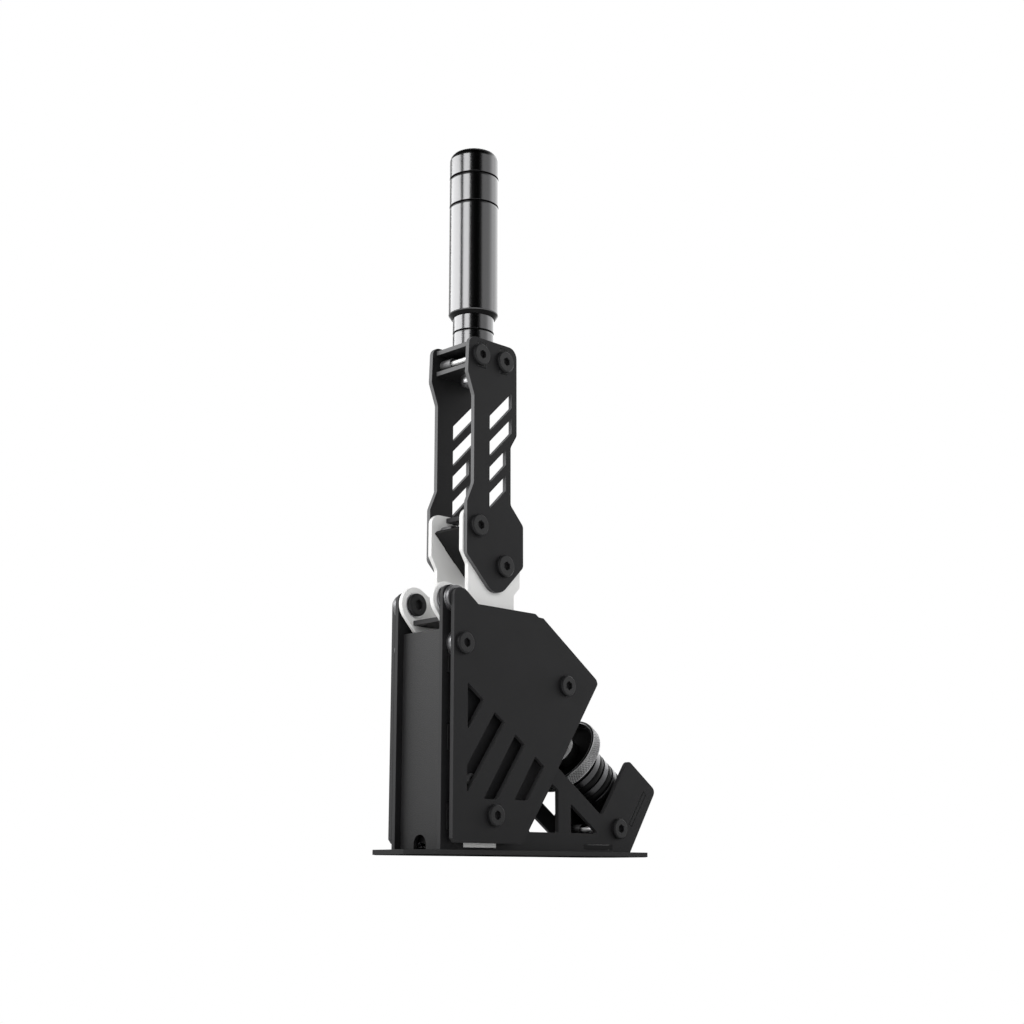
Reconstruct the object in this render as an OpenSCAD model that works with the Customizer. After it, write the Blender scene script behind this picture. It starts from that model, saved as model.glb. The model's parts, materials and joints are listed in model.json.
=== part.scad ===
// Handbrake lever with an elastomer spring stack, for a driving simulator.
// X runs across the unit, -Y points at the driver and +Z is up. Millimetres.
// The origin is on the underside of the base plate, at its centre.

/* [Plates] */
// Thickness of every laser-cut plate
plate_t = 3; // [2.6:0.1:3.2]
// Clear width between the two frame side plates
frame_gap = 38.6; // [38.2:0.1:39.4]
// Gap between a side plate and its outer cover
cover_gap = 4; // [3.8:0.1:5]

/* [Base plate] */
// Length of the base plate
base_len = 220; // [216:1:240]
// Width of the base plate
base_w = 53.4; // [52:0.2:58]
// Chamfer on each corner of the base plate
base_corner = 12.7; // [8:0.1:13]
// Diameter of the four mounting holes
mount_d = 6.6; // [5.5:0.1:8.5]
// Distance between the mounting holes across the base
mount_pitch_x = 30; // [24:1:32]
// Distance between the mounting holes along the base
mount_pitch_y = 196; // [194:1:200]

/* [Lever] */
// Height of the lever pivot above the underside
pivot_z = 155.5; // [155:0.1:156.2]
// Top edge of the black upper lever plates
lever_top_z = 333; // [328:1:345]
// Number of slanted windows in each upper lever plate
window_count = 4; // [1:1:4]
// Diameter of the pivot bolts
pivot_d = 8; // [7.6:0.1:8.2]

/* [Grip] */
// Diameter of the grip
grip_d = 33.8; // [30:0.2:36]
// Length of the grip, neck excluded
grip_len = 119.8; // [112:0.2:132]
// Diameter of the neck under the grip
neck_d = 28; // [24:0.5:29]
// Visible length of the neck
neck_len = 23; // [18:0.5:26]

/* [Spring stack] */
// Slope of the stack axis below the horizontal
stack_tilt = 35; // [34.6:0.1:35.2]
// Diameter of the elastomer pucks and of the discs between them
puck_d = 37.4; // [34:0.2:37.8]
// Thickness of one elastomer puck
puck_t = 5.3; // [5:0.05:5.35]
// Thickness of one disc between the pucks
disc_t = 4.5; // [4:0.1:4.6]
// Diameter of the knurled preload nut
nut_d = 54.4; // [48:0.2:55]
// Width of the knurled band of the preload nut
nut_len = 9.1; // [8.6:0.1:9.4]
// Grooves round the preload nut
knurl_count = 60; // [30:1:72]

/* [Fasteners] */
// Diameter of the wide bolt heads
head_d = 13.5; // [12:0.1:14]
// Height of the wide bolt heads
head_t = 2.8; // [2:0.1:3.2]
// Thread diameter of the plate bolts
bolt_d = 6; // [5:0.1:6.2]
// Outer diameter of the sleeve nuts on the inner faces
sleeve_d = 7.4; // [7:0.1:7.6]
// Length of the sleeve nuts
sleeve_len = 9.6; // [8:0.1:9.8]

/* [Hidden] */
$fn = 48;

// Small gaps: a running fit, a slip fit and the space between flat faces of pieces that move apart
run_fit = 0.04;
slip = 0.2;
face_gap = 0.05;
// Corner rounding of the plates
edge_r = 3;

// Half widths of the plate layers, from the middle outwards
foot_in = frame_gap / 2 - 6.2;
foot_out = foot_in + plate_t;
lever_out = foot_out + plate_t;
frame_in = frame_gap / 2;
frame_out = frame_in + plate_t;
cover_in = frame_out + cover_gap;
cover_out = cover_in + plate_t;

// The pivot, and the crank pin that the push rod hangs on
pivot_y = -79;
crank_dy = 19;
crank_dz = -33.5;
crank_y = pivot_y + crank_dy;
crank_z = pivot_z + crank_dz;
crank_pin_d = 8;
ear_r = 11.5;

// Frame side plate and cover: levels and edges that their outlines share
frame_front = -88;
cover_front = -84.6;
cover_bottom = 7;
shoulder_z = 153;
corner_y = 46.3;
corner_z = 112;
window_z = 14.7;
truss_w = 11.5;
floor_z = plate_t;

// The stack: front rim of the preload nut, on the axis, and the stations behind it along the axis
stack_y = 40.3;
stack_z = 68.6;
axis_y = cos(stack_tilt);
axis_z = -sin(stack_tilt);
collar_front = -1.6;
nut_floor = 5.5;
boss_end = 10.9;
pitch_s = 9.85;
cell_front = boss_end + 4 * pitch_s + 5.35 + face_gap;
seat_front = 62.7;
seat_back = seat_front + plate_t;
stud_d = 10;
stud_end = 72;
stop_nut_front = seat_back + face_gap;
ball_r = 4.5;
ball_s = 0;
socket_r = ball_r + 0.25;
collar_r = 11.5;

// The tabs that lock plates into each other
long_tab = 27;
short_tab = 7.5;
panel_tab = 16.4;
tab_slip = 0.1;

// The ear behind the stack, in distances along the axis and up from it
ear_front_s = 38;
ear_back_s = 72.6;
ear_top_t = 21.8;
bay_floor_t = -25.3;

// Bolt places on the plates, as [y, z]
cover_bolts = [[-76.1, 127.4], [15.5, 108.4], [-49.5, 23.7]];
rear_bolt = [72.8, 18.3];
top_bolts = [[-53.9, lever_top_z - 11.8], [-32, lever_top_z - 11.8]];
foot_bolts = [[-54.9, 206.3], [-31.6, 182.7]];

// Upper lever plate: edges and levels
wide_front = -64.8;
waist_front = -59;
wide_back = -20;
waist_back = -25.6;
foot_back = -14;
tip_y = -38;
tip_z = 160.2;
foot_top_z = 217.5;
window_y = -44.9;
window_low = lever_top_z - 114.3;
window_step = 17.35;
window_h = 10.7;
cross_front = -60.5;
cross_back = -23.5;
cross_upper_z = lever_top_z - 5.5;
cross_lower_z = lever_top_z - 20;

// Grip: heights of its parts along the axis
grip_y = -42.2;
neck_z = cross_upper_z + plate_t;
grip_z = neck_z + neck_len;
grip_top = grip_z + grip_len;
cap_len = 18.3;
cap_round = 5.4;
groove_w = 1.2;

// Pivot hardware, as distances out from the middle
bearing_in = foot_in - 0.6;
bearing_out = foot_out + 1.4;
pivot_head_d = 14.5;
pivot_head_t = 2.6;
bearing_d = 16;

// Small parts inside the frame
box_front = -78;
box_back = -56;
box_top = 52;
box_screw = [-64.1, 45.4];
brace_z = 4.5;
front_tab_y = -69;
rear_tab_y = 38.8;
tab_len = 27.5;
panel_y = -83.2;
panel_top = 137;
stop_y = -32.3;
stop_z = 127.2;
stop_r = 5;
cable_d = 4;

// Points of a polygon whose corners [x, y, radius] are rounded with arcs
function unit(v) = v / norm(v);
function turn_of(a, b) = let (d = b - a) d > 180 ? d - 360 : d < -180 ? d + 360 : d;
function corner(p, q, s, r) =
    r == 0 ? [q] :
    let (steps = r < 1 ? 2 : 6, u = unit(p - q), v = unit(s - q), half = acos(u * v) / 2)
    let (c = q + unit(u + v) * r / sin(half), reach = r / tan(half))
    let (a = q + u * reach - c, b = q + v * reach - c)
    let (start = atan2(a[1], a[0]), turn = turn_of(start, atan2(b[1], b[0])))
    [for (i = [0 : steps]) c + r * [cos(start + turn * i / steps), sin(start + turn * i / steps)]];
function xy(p) = [p[0], p[1]];
function rounded(pts) = [
    for (i = [0 : len(pts) - 1])
    each corner(xy(pts[(i + len(pts) - 1) % len(pts)]), xy(pts[i]), xy(pts[(i + 1) % len(pts)]), pts[i][2])
];

// A place given along the stack axis (s) and up from it (t), as [y, z]
function on_stack(s, t) = [
    stack_y + s * axis_y - t * axis_z,
    stack_z + s * axis_z + t * axis_y
];
function with_r(p, r) = [p[0], p[1], r];

// A flat plate in the YZ plane, from x outwards on one side
module side_sheet(x, t, side) {
    translate([side > 0 ? x : -x - t, 0, 0]) rotate([90, 0, 90]) linear_extrude(t) children();
}

// A bar of any outline along X, from x0 to x1
module across(x0, x1) {
    translate([x0, 0, 0]) rotate([90, 0, 90]) linear_extrude(x1 - x0) children();
}

// A round bar along X at [y, z], from x0 to x1
module pin(p, d, x0, x1, fn = 48) {
    translate([x0, p[0], p[1]]) rotate([0, 90, 0]) cylinder(d = d, h = x1 - x0, $fn = fn);
}

// Places its children on the stack axis, with the local Z along the axis
module on_axis(s = 0) {
    translate([0, stack_y + s * axis_y, stack_z + s * axis_z]) rotate([-90 - stack_tilt, 0, 0]) children();
}

// A ring about the local Z
module ring(od, bore, h) {
    difference() {
        cylinder(d = od, h = h);
        translate([0, 0, -1]) cylinder(d = bore, h = h + 2);
    }
}

// A wide-headed bolt with a hexagon socket. The head's underside is at x, and the shank runs inwards
module wide_bolt(p, x, side, reach, d = bolt_d, hd = head_d, ht = head_t, hex = 4.2) {
    translate([side * x, p[0], p[1]]) rotate([0, side > 0 ? 90 : -90, 0]) {
        difference() {
            rotate_extrude() polygon([[0, 0], [hd / 2, 0], [hd / 2, ht - 0.8], [hd / 2 - 0.8, ht], [0, ht]]);
            translate([0, 0, ht - 1.9]) cylinder(d = hex / cos(30), h = 2, $fn = 6);
        }
        translate([0, 0, -reach]) cylinder(d = d, h = reach + 0.01);
    }
}

// A sleeve nut against an inner face at x, running inwards
module sleeve_nut(p, x, side) {
    r = sleeve_d / 2;
    bore_r = bolt_d / 2 + 0.05;
    translate([side * x, p[0], p[1]]) rotate([0, side > 0 ? -90 : 90, 0]) rotate_extrude()
        polygon([[bore_r, 0], [r, 0], [r, sleeve_len - 0.4], [r - 0.3, sleeve_len], [bore_r, sleeve_len]]);
}

module bolt_holes_2d(places, d = bolt_d + 2 * slip) {
    for (p = places) translate(p) circle(d = d);
}

// Base plate

function base_points(w, l, c) = [
    [-w / 2 + c, -l / 2], [w / 2 - c, -l / 2], [w / 2, -l / 2 + c], [w / 2, l / 2 - c],
    [w / 2 - c, l / 2], [-w / 2 + c, l / 2], [-w / 2, l / 2 - c], [-w / 2, -l / 2 + c]
];
foot_tabs = [-74, -8, 58];
foot_tab_len = 16;
base_screw_places = [
    [-9, front_tab_y + 20], [9, front_tab_y + 20],
    [-9, rear_tab_y + tab_len / 2], [9, rear_tab_y + tab_len / 2]
];

module base_plate() {
    color("#2b2b2d") difference() {
        linear_extrude(plate_t) difference() {
            polygon(base_points(base_w, base_len, base_corner));
            for (sx = [-1, 1], sy = [-1, 1])
                translate([sx * mount_pitch_x / 2, sy * mount_pitch_y / 2]) circle(d = mount_d);
            for (sx = [-1, 1], y = foot_tabs)
                translate([sx * (frame_in + plate_t / 2), y])
                    square([plate_t + 2 * tab_slip, foot_tab_len + 2 * tab_slip], center = true);
            for (p = base_screw_places) translate(p) circle(d = 4.4);
        }
        for (p = base_screw_places)
            translate([p[0], p[1], -0.01]) cylinder(d1 = 8.4, d2 = 4.4, h = 2);
    }
}

module base_screws() {
    color("#4a4a4c") for (p = base_screw_places) translate([p[0], p[1], 0]) difference() {
        union() {
            cylinder(d1 = 8.1, d2 = 4, h = 2.05);
            cylinder(d = 4, h = brace_z + plate_t);
        }
        translate([0, 0, -0.1]) cylinder(d = 2.9, h = 1.4, $fn = 6);
    }
}

// Frame side plates

function diagonal_z(y, t) = let (p = on_stack(0, t)) p[1] + (y - p[0]) * axis_z / axis_y;
function frame_outline() = concat([
    [frame_front, floor_z, 0],
    [frame_front, pivot_z + 6, 7],
    [-80.5, pivot_z + 9.6, 7.5],
    [-71.6, 160.4, 4],
    [-56.6, shoulder_z - 3, 2],
    [-8, shoulder_z - 3, 3],
    [corner_y - 6.5, corner_z + 3, edge_r],
    [corner_y - 3.5, corner_z - 1.4, edge_r],
    [9.2, 59.9, 2]],
    [with_r([56.6, diagonal_z(56.6, bay_floor_t)], 3)],
    [with_r(on_stack(ear_front_s, ear_top_t), 4), with_r(on_stack(ear_back_s, ear_top_t), 4),
    [84.7, floor_z, 0]]);

// The two truss openings, each a triangle under the diagonal
module truss_windows_2d() {
    lower_t = bay_floor_t - truss_w;
    polygon(rounded([[14.6, window_z, 0.8], [14.6, diagonal_z(14.6, lower_t), 0.8],
        [9.2, diagonal_z(9.2, lower_t), 0.8], [-13, window_z, 0.8]]));
    reach = (diagonal_z(26.5, lower_t) - window_z) * axis_y / -axis_z;
    polygon(rounded([[26.5, window_z, 0.8], [26.5, diagonal_z(26.5, lower_t), 0.8],
        [26.5 + reach, window_z, 0.8]]));
}

module tab_slot_2d(y, z, w, h) {
    translate([y - tab_slip, z - tab_slip]) square([w + 2 * tab_slip, h + 2 * tab_slip]);
}

panel_tab_z = [14.4, 61.6, 109];

module side_plate(side) {
    color("#333335") union() {
        side_sheet(frame_in, plate_t, side) difference() {
            polygon(rounded(frame_outline()));
            truss_windows_2d();
            bolt_holes_2d(cover_bolts);
            bolt_holes_2d([rear_bolt]);
            bolt_holes_2d([box_screw], 4.3);
            bolt_holes_2d([[pivot_y, pivot_z]], pivot_d + 0.2);
            bolt_holes_2d([[stop_y, stop_z]], 8.1);
            tab_slot_2d(front_tab_y, brace_z, tab_len, plate_t);
            tab_slot_2d(rear_tab_y, brace_z, tab_len, plate_t);
            for (z = panel_tab_z) tab_slot_2d(panel_y, z, plate_t, panel_tab);
            translate(on_stack(seat_front - tab_slip, -long_tab / 2 - tab_slip)) rotate(-stack_tilt)
                square([plate_t + 2 * tab_slip, long_tab + 2 * tab_slip]);
        }
        for (y = foot_tabs)
            translate([side > 0 ? frame_in : -frame_out, y - foot_tab_len / 2, 0])
                cube([plate_t, foot_tab_len, floor_z + 0.5]);
    }
}
module left_side_plate() { side_plate(-1); }
module right_side_plate() { side_plate(1); }

// Outer covers

rear_slope = 1.47;
function rear_edge_y(z) = corner_y - (corner_z - z) / rear_slope;
function cover_outline() = [
    [cover_front, cover_bottom + 2.6, 0],
    [cover_front, 162, 4.8],
    [-75.6, 161.4, 3.4],
    [-64.2, shoulder_z, 1],
    [-13, shoulder_z - 0.3, 1],
    [-10, shoulder_z - 2.2, 1],
    [-5.6, shoulder_z - 2.4, 1.5],
    [corner_y - 1.2, corner_z + 3, 3],
    [corner_y, corner_z, 2],
    [rear_edge_y(cover_bottom), cover_bottom, 0],
    [cover_front + 2.2, cover_bottom, 0]
];

// A triangle and three slanted slots, cut parallel to the rear edge
module cover_cuts_2d() {
    polygon(rounded([[-72.8, 103.5, 0.6], [-58.9, 93.7, 0.6], [-72.7, 74.2, 0.6]]));
    polygon(rounded([[-49.4, 87, 0.6], [-40.8, 81.2, 0.6], [-73, 36, 0.6], [-73, 53.4, 0.6]]));
    polygon(rounded([[-31.3, 74.2, 0.6], [-22.9, 68.1, 0.6], [-47.3, 33.4, 0.6], [-59, 33.4, 0.6]]));
    polygon(rounded([[-13.5, 61.4, 0.6], [-5.1, 55.4, 0.6], [-20.6, 33.6, 0.6], [-32.4, 33.6, 0.6]]));
}

module cover(side) {
    color("#2e2e30") side_sheet(cover_in, plate_t, side) difference() {
        polygon(rounded(cover_outline()));
        cover_cuts_2d();
        bolt_holes_2d(cover_bolts);
    }
}
module left_cover() { cover(-1); }
module right_cover() { cover(1); }

// Front panel between the side plates, with an arched cable opening at its foot
module front_panel() {
    hole_x = -1.6;
    hole_w = 11;
    color("#4d4d50") union() {
        translate([0, panel_y + plate_t, 0]) rotate([90, 0, 0]) linear_extrude(plate_t) difference() {
            translate([-frame_in + 0.02, floor_z]) square([frame_gap - 0.04, panel_top - floor_z]);
            translate([hole_x, floor_z + 3.6]) circle(d = hole_w);
            translate([hole_x - hole_w / 2, floor_z - 1]) square([hole_w, 4.6]);
        }
        for (sx = [-1, 1], z = panel_tab_z)
            translate([sx > 0 ? frame_in - 0.5 : -frame_out, panel_y, z])
                cube([plate_t + 0.5, plate_t, panel_tab]);
    }
}

// Floor braces: flat cross plates with one long tab through each side plate
module floor_brace(y, shade) {
    color(shade) difference() {
        union() {
            translate([-frame_in + 0.02, y, brace_z]) cube([frame_gap - 0.04, tab_len, plate_t]);
            translate([-frame_out, y, brace_z]) cube([2 * frame_out, tab_len, plate_t]);
        }
        for (p = base_screw_places) translate([p[0], p[1], brace_z - 1]) cylinder(d = 4.1, h = plate_t + 2);
    }
}
module front_floor_brace() { floor_brace(front_tab_y, "#dcdcda"); }
module rear_floor_brace() { floor_brace(rear_tab_y, "#333335"); }

// Seat plate that carries the stack, square to its axis
seat_low = 20;
seat_high = 22;
module seat_plate() {
    color("#2e2e30") on_axis(seat_front) difference() {
        union() {
            translate([-frame_in + 0.02, -seat_low, 0])
                cube([frame_gap - 0.04, seat_low + seat_high, plate_t]);
            translate([-frame_out, -long_tab / 2, 0]) cube([2 * frame_out, long_tab, plate_t]);
        }
        translate([0, 0, -1]) cylinder(d = stud_d + 2 * run_fit, h = plate_t + 2);
    }
}

// Bar that the lever rests against, and its rubber sleeve
module stop_bar() {
    color("#8c8c8e") pin([stop_y, stop_z], 8, -frame_out, frame_out);
}
module stop_sleeve() {
    color("#141414") difference() {
        pin([stop_y, stop_z], 2 * stop_r, -foot_out - 1, foot_out + 1);
        pin([stop_y, stop_z], 8.1, -foot_out - 2, foot_out + 2);
    }
}

// Fasteners of the frame
module cover_bolt_set(side) {
    reach = cover_out - frame_in + sleeve_len - 1;
    color("#3c3c3e") for (p = cover_bolts) wide_bolt(p, cover_out, side, reach);
}
module left_cover_bolts() { cover_bolt_set(-1); }
module right_cover_bolts() { cover_bolt_set(1); }
module rear_bolts() {
    color("#3c3c3e") for (side = [-1, 1]) wide_bolt(rear_bolt, frame_out, side, plate_t + sleeve_len - 1);
}
module cover_spacers() {
    color("#8f8f91") for (side = [-1, 1], p = cover_bolts)
        translate([side > 0 ? frame_out : -cover_in, p[0], p[1]]) rotate([0, 90, 0])
            ring(12.6, bolt_d + 2 * slip, cover_gap);
}
module frame_sleeve_nuts() {
    color("#59595b") for (side = [-1, 1], p = concat(cover_bolts, [rear_bolt])) sleeve_nut(p, frame_in, side);
}

// Electronics and the force sensor

nose_x = [-15, -8.4];
nose_front = panel_y + plate_t + 0.5;
nose_top = brace_z + plate_t + 1.2;
socket_w = 8.6;
socket_h = 3.2;
socket_out = 1.2;
socket_y = (nose_front + front_tab_y) / 2;
socket_z = (floor_z + nose_top) / 2;
module socket_block(x0, x1, w, h) {
    translate([x0, socket_y - w / 2, socket_z - h / 2]) cube([x1 - x0, w, h]);
}
module controller_box() {
    color("#1d1d1f") difference() {
        union() {
            translate([-frame_in + 0.3, box_front, brace_z + plate_t])
                cube([frame_gap - 0.6, box_back - box_front, box_top - brace_z - plate_t]);
            translate([nose_x[0], nose_front, floor_z + 0.3])
                cube([nose_x[1] - nose_x[0], front_tab_y - nose_front - 0.2, nose_top - floor_z - 0.3]);
        }
        for (side = [-1, 1]) pin(box_screw, 3.4, side * frame_in - 8, side * frame_in + 8);
        socket_block(nose_x[0] + 1, nose_x[1] + 1, socket_w, socket_h);
    }
}
module usb_socket() {
    color("#a8a8aa") difference() {
        socket_block(nose_x[0] + 1.02, nose_x[1] + socket_out, socket_w - 0.04, socket_h - 0.04);
        socket_block(nose_x[0] + 2, nose_x[1] + socket_out + 1, socket_w - 0.8, socket_h - 0.8);
    }
}
module controller_screws() {
    color("#3c3c3e") for (side = [-1, 1])
        wide_bolt(box_screw, frame_out, side, plate_t + 6, d = 3.3, hd = 7.2, ht = 2, hex = 2.6);
}
cell_d = frame_gap - 1;
module load_cell() {
    color("#b9babc") on_axis(cell_front) difference() {
        union() {
            cylinder(d = cell_d, h = seat_front - cell_front);
            translate([-5, cell_d / 2 - 1.8, 1.2]) cube([10, 4.4, 4.6]);
        }
        translate([0, 0, -1]) cylinder(d = stud_d + 2, h = 10);
    }
}

// Sensor cable from the load cell along the floor to the controller box
cable_start = on_stack(cell_front + 3.5, -21.4);
cable_route = [
    [0, cable_start[0], cable_start[1]],
    [0, cable_start[0] - 3, cable_start[1] - 4.3],
    [-1, 70, 10.6],
    [-3, 62, 10],
    [-7, 54, 10],
    [-11, 45, 10],
    [-13, 35, 10],
    [-13, 25, 10],
    [-13, 15, 10],
    [-13, 5, 10],
    [-13, -5, 10],
    [-13, -15, 10],
    [-13, -25, 10],
    [-12.5, -35, 10.4],
    [-11, -45, 11.4],
    [-10, -51, 12],
    [-10, box_back, 12]
];
cable_sides = 8;
function along(i) = unit(cable_route[min(i + 1, len(cable_route) - 1)] - cable_route[max(i - 1, 0)]);
function cable_ring(i) =
    let (t = along(i), u = unit(cross(t, [1, 0, 0])), v = cross(t, u))
    [for (k = [0 : cable_sides - 1]) let (a = k * 360 / cable_sides)
        cable_route[i] + cable_d / 2 * (cos(a) * u + sin(a) * v)];
module sensor_cable() {
    n = cable_sides;
    last = len(cable_route) - 1;
    color("#111111") polyhedron(
        points = [for (i = [0 : last]) each cable_ring(i)],
        faces = concat(
            [[for (k = [0 : n - 1]) k]],
            [for (i = [0 : last - 1], k = [0 : n - 1])
                [i * n + k, (i + 1) * n + k, (i + 1) * n + (k + 1) % n, i * n + (k + 1) % n]],
            [[for (k = [n - 1 : -1 : 0]) last * n + k]]));
}

// Pivot hardware that stays with the frame

module pivot_bolts() {
    color("#2a2a2c") for (side = [-1, 1])
        translate([side * (bearing_in - face_gap), pivot_y, pivot_z]) rotate([0, side > 0 ? -90 : 90, 0]) {
            difference() {
                rotate_extrude() polygon([
                    [0, 0],
                    [pivot_head_d / 2, 0],
                    [pivot_head_d / 2, pivot_head_t - 0.8],
                    [pivot_head_d / 2 - 0.8, pivot_head_t],
                    [0, pivot_head_t]
                ]);
                translate([0, 0, pivot_head_t - 1.9]) cylinder(d = 5.2 / cos(30), h = 2, $fn = 6);
            }
            translate([0, 0, bearing_in - face_gap - cover_in + 0.2])
                cylinder(d = pivot_d - 2 * run_fit, h = cover_in - 0.2 - bearing_in + face_gap + 0.01);
        }
}
module pivot_spacers() {
    color("#b5b5b7") for (side = [-1, 1])
        translate([side > 0 ? bearing_out + face_gap : -frame_in, pivot_y, pivot_z]) rotate([0, 90, 0])
            ring(12, pivot_d + 0.1, frame_in - bearing_out - face_gap);
}
module pivot_washers() {
    color("#dededf") for (side = [-1, 1])
        translate([side > 0 ? frame_out : -frame_out - 1.4, pivot_y, pivot_z]) rotate([0, 90, 0])
            ring(16.6, pivot_d + 0.1, 1.4);
}
module pivot_nuts() {
    nut_t = cover_gap - 1.4 - 0.2;
    color("#6d6d6f") for (side = [-1, 1])
        translate([side > 0 ? frame_out + 1.4 : -frame_out - 1.4 - nut_t, pivot_y, pivot_z])
            rotate([0, 90, 0]) ring(16, pivot_d + 0.1, nut_t);
}

// Lever feet: the white plates that carry the pivot bearings and the crank pin

function on_pivot(r, a) = [pivot_y + r * cos(a), pivot_z + r * sin(a)];
low_brace_y = -76;
low_brace_z = pivot_z - 13.2;
low_brace_tab = 12;
top_brace_y = -48;
top_brace_z = foot_top_z - 4.4;
top_brace_tab = 10;
function foot_outline() = concat([
    [-66, foot_top_z, 7],
    [foot_back - 9, foot_top_z, 6],
    [foot_back - 0.2, foot_top_z - 10, 4],
    [foot_back - 0.2, 171, 2],
    [-19.7, 165.5, 3],
    [-19.7, 147.5, 6],
    [-55, 111.4, 9],
    [-69.4, 120.6, 8],
    [-68.4, 127.4, 3]],
    [for (a = [222 : -15 : 57]) with_r(on_pivot(ear_r, a), 0)],
    [[-67.6, 162, 3],
    [-60.8, 162.4, 3],
    [-60.8, 181, 3],
    [-66, 189.5, 3]
]);
module lever_foot(side) {
    color("#e4e4e2") side_sheet(foot_in, plate_t, side) difference() {
        polygon(rounded(foot_outline()));
        translate([pivot_y, pivot_z]) circle(d = bearing_d + 0.02);
        translate([crank_y, crank_z]) circle(d = crank_pin_d + 0.1);
        bolt_holes_2d(foot_bolts);
        tab_slot_2d(low_brace_y, low_brace_z, low_brace_tab, plate_t);
        slanted_tab_2d(tab_slip);
        tab_slot_2d(top_brace_y, top_brace_z, top_brace_tab, plate_t);
    }
}
module left_lever_foot() { lever_foot(-1); }
module right_lever_foot() { lever_foot(1); }

// Braces between the lever feet
module foot_brace(y, z, l, tab_y, tab_l) {
    color("#262628") union() {
        translate([-foot_in + 0.02, y, z]) cube([2 * foot_in - 0.04, l, plate_t]);
        translate([-foot_out, tab_y, z]) cube([2 * foot_out, tab_l, plate_t]);
    }
}
module foot_lower_brace() { foot_brace(low_brace_y - 4.8, low_brace_z, 22, low_brace_y, low_brace_tab); }
module foot_top_brace() { foot_brace(top_brace_y - 5.4, top_brace_z, 20, top_brace_y, top_brace_tab); }

slant = -44;
slant_start = [-63.4, 204.6];
slant_t = 2.5;
slant_len = 39.5;
module slanted_tab_2d(grow = 0) {
    translate(slant_start) rotate(slant) translate([13 - grow, -grow])
        square([12 + 2 * grow, slant_t + 2 * grow]);
}
module foot_slanted_brace() {
    color("#232325") union() {
        across(-foot_in + 0.02, foot_in - 0.02)
            translate(slant_start) rotate(slant) square([slant_len, slant_t]);
        across(-foot_out, foot_out) slanted_tab_2d();
    }
}

// Flanged bearings pressed into the lever feet
module pivot_bearings() {
    color("#cfcfd1") for (side = [-1, 1])
        translate([side * bearing_in, pivot_y, pivot_z]) rotate([0, side > 0 ? 90 : -90, 0]) difference() {
            union() {
                cylinder(d = bearing_d, h = bearing_out - bearing_in);
                translate([0, 0, foot_out - bearing_in]) cylinder(d = bearing_d + 2, h = 1);
            }
            translate([0, 0, -1]) cylinder(d = pivot_d, h = 10);
            translate([0, 0, -0.01]) difference() {
                cylinder(d = bearing_d - 2.4, h = 0.31);
                translate([0, 0, -1]) cylinder(d = pivot_d + 3, h = 3);
            }
        }
}

// Crank pin between the lever feet, with a spacer on each side of the push rod eye
eye_w = 10;
module crank_pin() {
    color("#9c9c9e") union() {
        pin([crank_y, crank_z], crank_pin_d, -foot_out - 1.6, foot_out + 1.6);
        for (x = [-foot_out - 1.6, foot_out]) pin([crank_y, crank_z], 12, x, x + 1.6);
    }
}
module crank_spacers() {
    gap = foot_in - eye_w / 2 - 0.15;
    color("#b5b5b7") for (side = [-1, 1])
        translate([side > 0 ? eye_w / 2 + 0.15 : -foot_in, crank_y, crank_z]) rotate([0, 90, 0])
            ring(12, crank_pin_d + 0.1, gap);
}

// Upper lever plates

function lever_outline() = [
    [wide_front + 1, lever_top_z, 6],
    [wide_back, lever_top_z, 7],
    [wide_back, lever_top_z - 60.6, 4],
    [waist_back, lever_top_z - 69.4, 4],
    [waist_back, foot_top_z + 6.9, 4],
    [foot_back, foot_top_z - 5.5, 4],
    [foot_back, tip_z + tip_y * -1 + foot_back, 4],
    [tip_y, tip_z, 11],
    [wide_front, tip_z + (tip_y - wide_front), 4],
    [wide_front, foot_top_z + 3.5, 4],
    [waist_front, foot_top_z + 16.5, 5],
    [waist_front, lever_top_z - 40, 5],
    [wide_front, lever_top_z - 25, 5]
];
module lever_window_2d(i) {
    w = i < 2 ? 14.85 : 20.25;
    z = window_low + i * window_step;
    polygon(rounded([
        [window_y, z, 0.5],
        [window_y + w, z + w, 0.5],
        [window_y + w, z + w + window_h - 0.4, 0.5],
        [window_y, z + window_h, 0.5]
    ]));
}
tab_places = [-55.5, -35.8];
module lever_plate(side) {
    color("#353537") side_sheet(foot_out, plate_t, side) difference() {
        polygon(rounded(lever_outline()));
        for (i = [4 - window_count : 3]) lever_window_2d(i);
        bolt_holes_2d(top_bolts);
        bolt_holes_2d(foot_bolts);
        for (y = tab_places, z = [cross_upper_z, cross_lower_z]) tab_slot_2d(y, z, short_tab, plate_t);
    }
}
module left_lever_plate() { lever_plate(-1); }
module right_lever_plate() { lever_plate(1); }

// Cross plates at the top of the lever, tabbed through both lever plates
module cross_plate(z) {
    color("#3a3a3c") difference() {
        union() {
            translate([-foot_out + 0.02, cross_front, z])
                cube([2 * foot_out - 0.04, cross_back - cross_front, plate_t]);
            for (y = tab_places) translate([-lever_out, y, z]) cube([2 * lever_out, short_tab, plate_t]);
        }
        translate([0, grip_y, z - 1]) cylinder(d = grip_bolt_d + 2 * slip, h = plate_t + 2);
    }
}
module upper_cross_plate() { cross_plate(cross_upper_z); }
module lower_cross_plate() { cross_plate(cross_lower_z); }

module lever_bolt_set(side) {
    color("#3c3c3e") union() {
        for (p = top_bolts) wide_bolt(p, lever_out, side, plate_t + sleeve_len - 1);
        for (p = foot_bolts) wide_bolt(p, lever_out, side, 2 * plate_t + sleeve_len - 1);
    }
}
module left_lever_bolts() { lever_bolt_set(-1); }
module right_lever_bolts() { lever_bolt_set(1); }
module lever_sleeve_nuts() {
    color("#59595b") for (side = [-1, 1]) {
        for (p = top_bolts) sleeve_nut(p, foot_out, side);
        for (p = foot_bolts) sleeve_nut(p, foot_in, side);
    }
}

// Grip

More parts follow.
